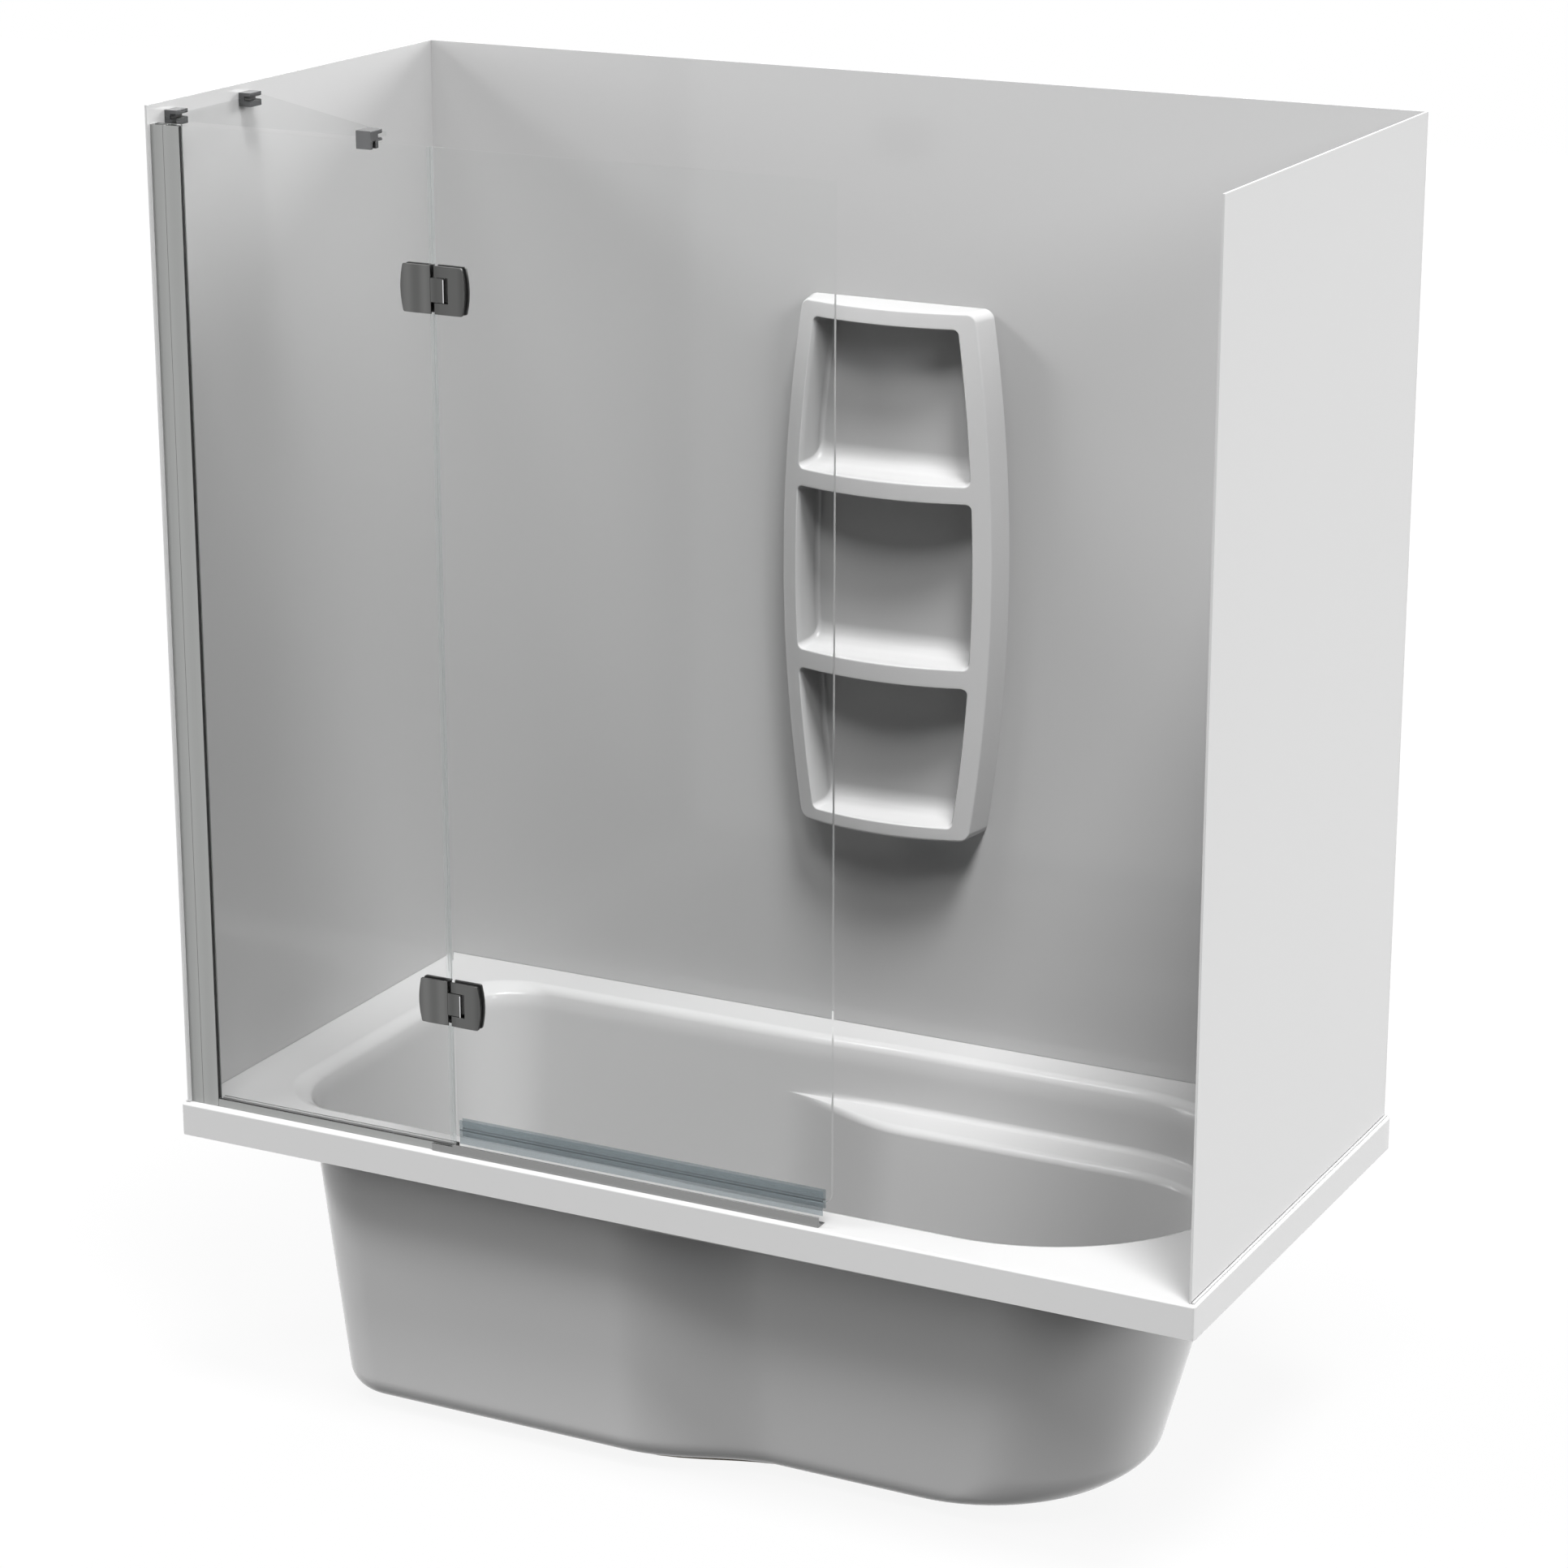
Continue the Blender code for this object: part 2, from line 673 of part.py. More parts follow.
def lining_panels():
    outer = PANEL_INSET
    inner = PANEL_INSET + PANEL
    front, back = ry(PANEL_FRONT), ry(DEPTH - inner - JOINT)
    sides = (
        ("left_wall_panel", rx(outer), rx(inner)),
        ("right_wall_panel", rx(LENGTH - outer), rx(LENGTH - inner)),
    )
    made = [prism(name, sheet_section(x0, x1), "y", front, back) for name, x0, x1 in sides]
    section = sheet_section(ry(DEPTH - outer), ry(DEPTH - inner))
    made.append(prism("back_wall_panel", section, "x", rx(outer), rx(LENGTH - outer)))
    near = outer - JOINT
    far = near - BEAD
    front = PANEL_FRONT
    outline = [
        (rx(far), ry(front)),
        (rx(near), ry(front)),
        (rx(near), ry(DEPTH - near)),
        (rx(LENGTH - near), ry(DEPTH - near)),
        (rx(LENGTH - near), ry(front)),
        (rx(LENGTH - far), ry(front)),
        (rx(LENGTH - far), ry(DEPTH - far)),
        (rx(far), ry(DEPTH - far)),
    ]
    made.append(prism("panel_base_bead", outline, "z", rz(JOINT), rz(BEAD)))
    for ob in made:
        paint(ob, PANEL_WHITE, 0.0, 0.15, 0.0)


def shelf_half(height):
    """Half width of the shelf unit at its back, a barrel outline."""
    middle = (SHELF_TOP + SHELF_LOW) / 2
    share = (height - middle) / (SHELF_TOP - middle)
    return SHELF_HALF_MID - (SHELF_HALF_MID - SHELF_HALF_END) * share * share


def shelf_bow(height):
    """How far the middle of the bowed front stands out over its sides."""
    half = shelf_half(height) - SHELF_DRAFT
    return half * half / (2 * SHELF_BOW_R)


def round_off(distance, radius):
    """How far a rounded edge draws in at a distance from the face it starts on."""
    short = max(radius - distance, 0.0)
    return radius - math.sqrt(radius * radius - short * short)


def shelf_row(height):
    """Level section of the shelf unit, drawn in near its rounded top and bottom."""
    back = ry(DEPTH - PANEL_INSET - PANEL - JOINT)
    from_end = min(height - SHELF_LOW, SHELF_TOP - height)
    half = shelf_half(height) - round_off(from_end, SHELF_CORNER_R)
    sink = round_off(from_end, SHELF_EDGE_R)
    bow = shelf_bow(height)
    side = []
    inner = half - SHELF_DRAFT - SHELF_EDGE_R
    for i in range(SHELF_EDGE_STEPS + 1):
        angle = math.pi / 2 * i / SHELF_EDGE_STEPS
        x = inner + SHELF_EDGE_R * math.cos(angle)
        side.append((x, SHELF_DEEP - sink - SHELF_EDGE_R * (1 - math.sin(angle))))
    row = [(-half, 0.0)] + [(-x, y) for x, y in side]
    for i in range(1, SHELF_COLUMNS):
        x = -inner + 2 * inner * i / SHELF_COLUMNS
        row.append((x, SHELF_DEEP - sink + bow * (1 - (x / inner) ** 2)))
    row += list(reversed(side)) + [(half, 0.0)]
    foot = min(max(1 - (height - SHELF_LOW - SHELF_CORNER_R) / SHELF_FOOT_TALL, 0.0), 1.0)
    drop = SHELF_FOOT_DROP * foot / SHELF_DEEP
    return [(rx(SHELF_X + x), back - y, rz(height - drop * y)) for x, y in row]


def shelf_rows():
    low = SHELF_LOW + SHELF_CORNER_R
    high = SHELF_TOP - SHELF_CORNER_R
    heights = [SHELF_LOW + SHELF_CORNER_R * share for share in SHELF_END_SHARES]
    heights += [low + (high - low) * i / SHELF_ROWS for i in range(SHELF_ROWS + 1)]
    heights += [SHELF_TOP - SHELF_CORNER_R * share for share in reversed(SHELF_END_SHARES)]
    return [shelf_row(height) for height in heights]


def pocket_ring(low, high, share, deep):
    """Rounded outline of a pocket with barrel sides, deep metres out from the shelf's back.

    share is 0 at the mouth and 1 at the pocket's narrower back.
    """
    back = ry(DEPTH - PANEL_INSET - PANEL - JOINT)
    z0 = low + POCKET_LOW_INSET * share
    z1 = high - POCKET_TOP_INSET * share
    inset = POCKET_SIDE_INSET * share
    radius = POCKET_CORNER_R

    def half(height):
        return shelf_half(height) - SHELF_DRAFT - SHELF_BORDER - inset

    points = []
    for sign, z_corner, start in ((1, z0 + radius, -math.pi / 2), (1, z1 - radius, 0.0)):
        arc = []
        for i in range(POCKET_CORNER_STEPS + 1):
            angle = start + math.pi / 2 * i / POCKET_CORNER_STEPS
            centre = half(z_corner) - radius
            arc.append((sign * (centre + radius * math.cos(angle)), z_corner + radius * math.sin(angle)))
        points.append(arc)
    side = []
    for i in range(1, POCKET_SIDE_STEPS):
        height = z0 + radius + (z1 - z0 - 2 * radius) * i / POCKET_SIDE_STEPS
        side.append((half(height), height))
    right = points[0] + side + points[1]
    left = [(-x, z) for x, z in reversed(right)]
    return [(rx(SHELF_X + x), back - deep, rz(z)) for x, z in right + left]


def shelf_unit():
    unit = add_object("shelf_unit", ring_surface(shelf_rows()))
    for number, (low, high) in enumerate(POCKET_HEIGHTS):
        rings = []
        for share, out in POCKET_BACK_SHARES:
            rings.append(pocket_ring(low, high, share, SHELF_BACK + POCKET_BACK_R * out))
        rings.append(pocket_ring(low, high, 0.0, SHELF_DEEP + SHELF_BOW_SPARE))
        rings.append(pocket_ring(low, high, 0.0, POCKET_REACH))
        cut(unit, add_object("pocket_cutter_%d" % number, ring_surface(rings)))
    paint(unit, WHITE, 0.0, 0.12, 0.0)


def channel_outline(x0, x1, y0, y1, wall, tongue=None):
    """Plan outline of a U channel open to the right, with an optional tongue at its left."""
    outline = [(x0, y0), (x1, y0), (x1, y0 + wall), (x0 + wall, y0 + wall)]
    outline += [(x0 + wall, y1 - wall), (x1, y1 - wall), (x1, y1), (x0, y1)]
    if tongue:
        middle = (y0 + y1) / 2
        left, half = tongue
        outline += [(x0, middle + half), (left, middle + half), (left, middle - half), (x0, middle - half)]
    return [(rx(x), ry(y)) for x, y in outline]


def jamb():
    left = PANEL_INSET + PANEL + JOINT
    joint = left + WALL_CHANNEL_WIDE
    start = joint + JOINT
    tall = (rz(JOINT), rz(SCREEN_TOP))
    outer = channel_outline(left, joint, JAMB_FRONT, JAMB_BACK, JAMB_WALL)
    wall_channel = prism("wall_channel", outer, "z", tall[0], tall[1])
    inner = channel_outline(
        start, GLAZING_CHANNEL_RIGHT, JAMB_FRONT, JAMB_BACK, JAMB_WALL, (TONGUE_LEFT, TONGUE_HALF)
    )
    glazing_channel = prism("glazing_channel", inner, "z", tall[0], tall[1])
    for ob in (wall_channel, glazing_channel):
        paint(ob, SATIN, 1.0, 0.35, 0.0)
    x_range = (rx(GLAZING_CHANNEL_RIGHT - GASKET_BITE), rx(GLAZING_CHANNEL_RIGHT + GASKET_SHOW))
    low = RAIL_TALL + RAIL_GASKET_SHOW + JOINT
    front = JAMB_FRONT + JAMB_WALL + JOINT
    back = JAMB_BACK - JAMB_WALL - JOINT
    faces = (
        ("jamb_gasket_front", front, SCREEN_Y - GLASS / 2 - JOINT),
        ("jamb_gasket_back", SCREEN_Y + GLASS / 2 + JOINT, back),
    )
    for name, near, far in faces:
        strip = block(name, x_range, (ry(near), ry(far)), (rz(low), tall[1]))
        paint(strip, BLACK, 0.0, 0.5, 0.0)


def rail():
    left = GLAZING_CHANNEL_RIGHT + JOINT
    wall = RAIL_WALL
    y0, y1 = RAIL_FRONT, RAIL_BACK
    z0, z1 = JOINT, RAIL_TALL
    outline = [(y0, z0), (y1, z0), (y1, z1), (y1 - wall, z1), (y1 - wall, z0 + wall)]
    outline += [(y0 + wall, z0 + wall), (y0 + wall, z1), (y0, z1)]
    place = [(ry(y), rz(z)) for y, z in outline]
    bottom_rail = prism("bottom_rail", place, "x", rx(left), rx(RAIL_RIGHT))
    paint(bottom_rail, SATIN, 1.0, 0.35, 0.0)
    tall = (rz(RAIL_GASKET_LOW), rz(RAIL_TALL + RAIL_GASKET_SHOW))
    faces = (
        ("rail_gasket_front", y0 + wall + JOINT, SCREEN_Y - GLASS / 2 - JOINT),
        ("rail_gasket_back", SCREEN_Y + GLASS / 2 + JOINT, y1 - wall - JOINT),
    )
    for name, near, far in faces:
        strip = block(name, (rx(left), rx(FIXED_GLASS_RIGHT)), (ry(near), ry(far)), tall)
        paint(strip, BLACK, 0.0, 0.5, 0.0)


def sill():
    """Threshold strip under the door: upright with a bead, cove behind, tongue over the rail."""
    front = SILL_FRONT
    top = SILL_TALL
    bead_y = front + SILL_BEAD_R
    bead_z = top - SILL_BEAD_R
    outline = [(front, SILL_REST), (front, bead_z)]
    for i in range(1, 6):
        angle = math.pi - math.pi * i / 6
        outline.append((bead_y + SILL_BEAD_R * math.cos(angle), bead_z + SILL_BEAD_R * math.sin(angle)))
    web = front + SILL_WEB
    outline.append((bead_y + SILL_BEAD_R, bead_z))
    outline.append((web, bead_z - SILL_BEAD_R))
    for share_y, share_z in COVE_SHARES:
        y = web + (SILL_BACK - web) * share_y
        z = SILL_LEAF + (bead_z - SILL_BEAD_R - SILL_LEAF) * share_z
        outline.append((y, z))
    outline += [(SILL_BACK, SILL_LEAF), (SILL_BACK, SILL_REST)]
    place = [(ry(y), rz(z)) for y, z in outline]
    start = RAIL_RIGHT + JOINT
    strip = prism("sill_strip", place, "x", rx(start), rx(SILL_RIGHT))
    x_range = (rx(TONGUE_FROM), rx(start + SILL_WEB))
    y_range = (ry(front + KNUCKLE_TRIM), ry(web - KNUCKLE_TRIM))
    z_range = (rz(SILL_REST + KNUCKLE_TRIM), rz(SILL_TONGUE_TALL))
    join(strip, block("sill_tongue", x_range, y_range, z_range))
    paint(strip, SATIN, 1.0, 0.22, 0.0)


def screw_holes(target, x, heights, low, high):
    """Opens target for the clamp screws at x, two for each hinge height, with one cutter."""
    bm = bmesh.new()
    for height in heights:
        for sign in (-1, 1):
            place = circle(rx(x), rz(height + sign * SCREW_OFFSET_Z), GLASS_HOLE_R, SCREW_STEPS)
            prism_mesh(place, "y", low, high, bm)
    cut(target, add_object("hole_cutter", bm))


def glass_holes(pane, x):
    heights = [height for _, height in HINGE_HEIGHTS]
    screw_holes(pane, x, heights, ry(SCREEN_Y - GLASS), ry(SCREEN_Y + GLASS))


def door_origin():
    return (rx(AXIS_X), ry(SCREEN_Y), rz(0))


def glass_panes():
    near = ry(SCREEN_Y - GLASS / 2)
    far = ry(SCREEN_Y + GLASS / 2)
    fixed = block(
        "fixed_glass",
        (rx(FIXED_GLASS_LEFT), rx(FIXED_GLASS_RIGHT)),
        (near, far),
        (rz(FIXED_GLASS_LOW), rz(SCREEN_TOP)),
    )
    glass_holes(fixed, FIXED_SCREW_X)
    outline = [(DOOR_LEFT, SCREEN_TOP)]
    for _, height in HINGE_HEIGHTS:
        for x in (DOOR_LEFT, CUTOUT_RIGHT, CUTOUT_RIGHT, DOOR_LEFT):
            outline.append((x, height))
    for k in range(2):
        height = HINGE_HEIGHTS[k][1]
        for corner, sign in enumerate((1, 1, -1, -1)):
            x = outline[1 + 4 * k + corner][0]
            outline[1 + 4 * k + corner] = (x, height + sign * CUTOUT_HALF_TALL)
    outline.append((DOOR_LEFT, DOOR_LOW))
    for i in range(7):
        angle = -math.pi / 2 + math.pi / 2 * i / 6
        x = DOOR_RIGHT - DOOR_CORNER_R + DOOR_CORNER_R * math.cos(angle)
        outline.append((x, DOOR_LOW + DOOR_CORNER_R + DOOR_CORNER_R * math.sin(angle)))
    outline.append((DOOR_RIGHT, SCREEN_TOP))
    place = [(rx(x), rz(z)) for x, z in outline]
    door = prism("door_glass", place, "y", near, far)
    glass_holes(door, DOOR_SCREW_X)
    for pane in (fixed, door):
        paint(pane, CLEAR, 0.0, 0.02, 0.95)
    move_origin(door, door_origin())


def move_origin(ob, origin):
    for vert in ob.data.vertices:
        for c in range(3):
            vert.co[c] += ob.location[c] - origin[c]
    ob.location = origin


def seals():
    near = SCREEN_Y - GLASS / 2 - JOINT
    far = SCREEN_Y + GLASS / 2 + JOINT
    wall = SEAL_WALL
    web_top = DOOR_LOW - JOINT
    web_low = web_top - SEAL_WEB_THICK
    lip = near - wall + (wall - SEAL_LIP_THICK) / 2
    outline = [
        (near - wall, SEAL_TOP),
        (near - wall, SEAL_SKIRT_LOW),
        (lip, SEAL_SKIRT_LOW - SEAL_LIP_THICK),
        (lip, SEAL_LIP_LOW),
        (lip + SEAL_LIP_THICK, SEAL_LIP_LOW),
        (lip + SEAL_LIP_THICK, SEAL_SKIRT_LOW - SEAL_LIP_THICK),
        (near, SEAL_SKIRT_LOW),
        (near, web_low),
        (far, web_low),
        (far, SEAL_BACK_LOW),
        (far + wall, SEAL_BACK_LOW),
        (far + wall, SEAL_TOP),
        (far, SEAL_TOP),
        (far, web_top),
        (near, web_top),
        (near, SEAL_TOP),
    ]
    place = [(ry(y), rz(z)) for y, z in outline]
    bottom = prism("door_bottom_seal", place, "x", rx(SEAL_LEFT), rx(SEAL_RIGHT), door_origin())
    paint(bottom, SMOKE, 0.0, 0.25, 0.4)
    edge = FIXED_GLASS_RIGHT + JOINT
    thin = SIDE_SEAL_WALL
    nose = SIDE_SEAL_NOSE_HALF
    plan = [
        (edge - SIDE_SEAL_BITE, near - thin),
        (edge + SIDE_SEAL_WEB, near - thin),
        (edge + SIDE_SEAL_WEB, SCREEN_Y - nose),
        (SIDE_SEAL_NOSE, SCREEN_Y - nose),
        (SIDE_SEAL_NOSE, SCREEN_Y + nose),
        (edge + SIDE_SEAL_WEB, SCREEN_Y + nose),
        (edge + SIDE_SEAL_WEB, far + thin),
        (edge - SIDE_SEAL_BITE, far + thin),
        (edge - SIDE_SEAL_BITE, far),
        (edge, far),
        (edge, near),
        (edge - SIDE_SEAL_BITE, near),
    ]
    flat = [(rx(x), ry(y)) for x, y in plan]
    upper, lower = HINGE_HEIGHTS[0][1], HINGE_HEIGHTS[1][1]
    reach = HINGE_HALF_TALL + SIDE_SEAL_END_GAP
    start = RAIL_TALL + RAIL_GASKET_SHOW + JOINT
    spans = (
        ("side_seal_lower", start, lower - reach),
        ("side_seal_middle", lower + reach, upper - reach),
        ("side_seal_upper", upper + reach, SCREEN_TOP),
    )
    for name, low, high in spans:
        paint(prism(name, flat, "z", rz(low), rz(high)), CLEAR, 0.0, 0.15, 0.8)


def plate_outline(edge, side, height, inset, notch=None):
    """Hinge plate in front view: straight edge at the gap, rounded and bulged outer edge.

    side is -1 for the fixed half and 1 for the door half.
    """
    tall = HINGE_HALF_TALL - inset
    outer = edge + side * (PLATE_WIDE - inset)
    radius = PLATE_CORNER_R
    points = [(edge, tall)]
    for i in range(3):
        angle = math.pi / 2 - math.pi / 2 * i / 2
        x = outer - side * radius + side * radius * math.cos(angle)
        points.append((x, tall - radius + radius * math.sin(angle)))
    span = tall - radius
    for i in range(1, BULGE_STEPS):
        share = 1 - 2 * i / BULGE_STEPS
        points.append((outer + side * PLATE_BULGE * (1 - share * share), span * share))
    for i in range(3):
        angle = -math.pi / 2 * i / 2
        x = outer - side * radius + side * radius * math.cos(angle)
        points.append((x, -tall + radius + radius * math.sin(angle)))
    points.append((edge, -tall))
    if notch:
        right, half = notch
        points += [(edge, -half), (right, -half), (right, half), (edge, half)]
    return [(rx(x), rz(height + z)) for x, z in points]


def hinge_layers():
    """Distances from the screen's middle plane: pad inner and outer, plate inner and outer."""
    pad_in = GLASS / 2 + JOINT
    pad_out = pad_in + PAD
    plate_in = pad_out + JOINT
    return pad_in, pad_out, plate_in, plate_in + PLATE


def screw(name, x, z, origin):
    """Socket screw from the bath side: head in the back plate, tip in the front plate."""
    _, _, plate_in, plate_out = hinge_layers()
    tip = SCREEN_Y - plate_in - SCREW_TIP_BITE
    head = SCREEN_Y + plate_out - SCREW_HEAD_THICK
    face = SCREEN_Y + plate_out
    profile = [
        (SCREW_R, tip),
        (SCREW_R, head),
        (SCREW_HEAD_R, head),
        (SCREW_HEAD_R, face),
        (SCREW_SOCKET_R, face),
        (SCREW_SOCKET_R, face - SCREW_SOCKET_DEEP),
    ]
    rings = []
    for radius, y in profile:
        rings.append([(px, ry(y), pz) for px, pz in circle(x, z, radius, SCREW_STEPS)])
    ob = add_object(name, ring_surface(rings), origin)
    paint(ob, CHROME, 1.0, 0.2, 0.0)


def screw_bores(ob, x, z, back):
    """Opens a plate for one screw: through and counterbored at the back, blind at the front."""
    _, _, plate_in, plate_out = hinge_layers()
    bore_r, seat_r = SCREW_R + JOINT, SCREW_HEAD_R + JOINT
    if back:
        seat = SCREEN_Y + plate_out - SCREW_HEAD_THICK - JOINT
        low, high = SCREEN_Y + plate_in - PLATE, SCREEN_Y + plate_out + PLATE
        profile = [(bore_r, low), (bore_r, seat), (seat_r, seat), (seat_r, high)]
    else:
        deep = SCREEN_Y - plate_in - SCREW_TIP_BITE - JOINT
        profile = [(bore_r, deep), (bore_r, SCREEN_Y - plate_in + PLATE)]
    rings = []
    for radius, y in profile:
        rings.append([(px, ry(y), pz) for px, pz in circle(x, z, radius, SCREW_STEPS)])
    cut(ob, add_object("bore", ring_surface(rings)))


def pads(prefix, outline, x, height, origin):
    pad_in, pad_out, _, _ = hinge_layers()
    for face, low, high in (
        ("front", SCREEN_Y - pad_out, SCREEN_Y - pad_in),
        ("back", SCREEN_Y + pad_in, SCREEN_Y + pad_out),
    ):
        pad = prism("%s_pad_%s" % (prefix, face), outline, "y", ry(low), ry(high))
        screw_holes(pad, x, [height], ry(low - PAD), ry(high + PAD))
        if origin:
            move_origin(pad, origin)
        paint(pad, BLACK, 0.0, 0.6, 0.0)


def clamp_screws(prefix, x, height, origin):
    for word, sign in (("top", 1), ("low", -1)):
        screw("%s_screw_%s" % (prefix, word), rx(x), rz(height + sign * SCREW_OFFSET_Z), origin)


def fixed_half(prefix, height):
    _, _, plate_in, plate_out = hinge_layers()
    right = rx(KNUCKLE_RIGHT)
    outline = plate_outline(PLATE_FIXED_EDGE, -1, height, 0.0)
    knuckle = KNUCKLE_HALF_TALL
    tongue = [
        (rx(PLATE_FIXED_EDGE), rz(height - knuckle)),
        (right, rz(height - knuckle)),
        (right, rz(height + knuckle)),
        (rx(PLATE_FIXED_EDGE), rz(height + knuckle)),
    ]
    outline = outline + tongue
    front = prism(prefix + "_fixed_front", outline, "y", ry(SCREEN_Y - plate_out), ry(SCREEN_Y - plate_in))
    trim = KNUCKLE_TRIM
    side = KNUCKLE_RIGHT - trim
    y0 = SCREEN_Y - plate_out + PLATE / 2
    y1 = SCREEN_Y + plate_out
    radius = KNUCKLE_ROUND_R
    plan = [(KNUCKLE_LEFT, y0), (side, y0)]
    for i in range(5):
        angle = math.pi / 2 * i / 4
        plan.append((side - radius + radius * math.cos(angle), y1 - radius + radius * math.sin(angle)))
    plan.append((KNUCKLE_LEFT, y1))
    flat = [(rx(x), ry(y)) for x, y in plan]
    low = rz(height - knuckle + trim)
    high = rz(height + knuckle - trim)
    join(front, prism("knuckle", flat, "z", low, high))
    bore = circle(rx(AXIS_X), ry(SCREEN_Y), PIN_R + JOINT, PIN_STEPS)
    cut(front, prism("pin_bore", bore, "z", rz(height - 2 * knuckle), rz(height + 2 * knuckle)))
    back_outline = plate_outline(PLATE_FIXED_EDGE, -1, height, 0.0)
    back = prism(prefix + "_fixed_back", back_outline, "y", ry(SCREEN_Y + plate_in), ry(SCREEN_Y + plate_out))
    for sign in (-1, 1):
        z = rz(height + sign * SCREW_OFFSET_Z)
        screw_bores(front, rx(FIXED_SCREW_X), z, False)
        screw_bores(back, rx(FIXED_SCREW_X), z, True)
    for ob in (front, back):
        paint(ob, GREY_METAL, 1.0, 0.35, 0.0)
    pad_edge = PLATE_FIXED_EDGE - PAD_EDGE_CLEAR
    pad_outline = plate_outline(pad_edge, -1, height, PAD_INSET)
    pads(prefix + "_fixed", pad_outline, FIXED_SCREW_X, height, None)
    clamp_screws(prefix + "_fixed", FIXED_SCREW_X, height, None)
    reach = LUG_HIGH - LUG_CAP - PIN_END_GAP
    pin_side = circle(rx(AXIS_X), ry(SCREEN_Y), PIN_R, PIN_STEPS)
    pin = prism(prefix + "_pin", pin_side, "z", rz(height - reach), rz(height + reach))
    paint(pin, CHROME, 1.0, 0.2, 0.0)


def door_half(prefix, height):
    _, pad_out, plate_in, plate_out = hinge_layers()
    origin = door_origin()
    notch = (NOTCH_RIGHT, KNUCKLE_HALF_TALL + NOTCH_CLEAR)
    outline = plate_outline(PLATE_DOOR_EDGE, 1, height, 0.0, notch)
    front = prism(prefix + "_door_front", outline, "y", ry(SCREEN_Y - plate_out), ry(SCREEN_Y - plate_in))
    back = prism(prefix + "_door_back", outline, "y", ry(SCREEN_Y + plate_in), ry(SCREEN_Y + plate_out))
    bore = circle(rx(AXIS_X), ry(SCREEN_Y), PIN_R + JOINT, PIN_STEPS)
    for sign in (-1, 1):
        ends = sorted((rz(height + sign * LUG_LOW), rz(height + sign * LUG_HIGH)))
        y_range = (ry(SCREEN_Y - plate_out + PLATE / 2), ry(SCREEN_Y + pad_out))
        join(front, block("lug", (rx(LUG_LEFT), rx(LUG_RIGHT)), y_range, ends))
        hole = sorted((rz(height), rz(height + sign * (LUG_HIGH - LUG_CAP))))
        cut(front, prism("lug_bore", bore, "z", hole[0], hole[1]))
        z = rz(height + sign * SCREW_OFFSET_Z)
        screw_bores(front, rx(DOOR_SCREW_X), z, False)
        screw_bores(back, rx(DOOR_SCREW_X), z, True)
    for ob in (front, back):
        move_origin(ob, origin)
        paint(ob, GREY_METAL, 1.0, 0.35, 0.0)
    cutout = (CUTOUT_RIGHT, CUTOUT_HALF_TALL)
    pad_outline = plate_outline(PLATE_DOOR_EDGE + PAD_EDGE_CLEAR, 1, height, PAD_INSET, cutout)
    pads(prefix + "_door", pad_outline, DOOR_SCREW_X, height, origin)
    clamp_screws(prefix + "_door", DOOR_SCREW_X, height, origin)


def hinges():
    for word, height in HINGE_HEIGHTS:
        fixed_half(word + "_hinge", height)
        door_half(word + "_hinge", height)


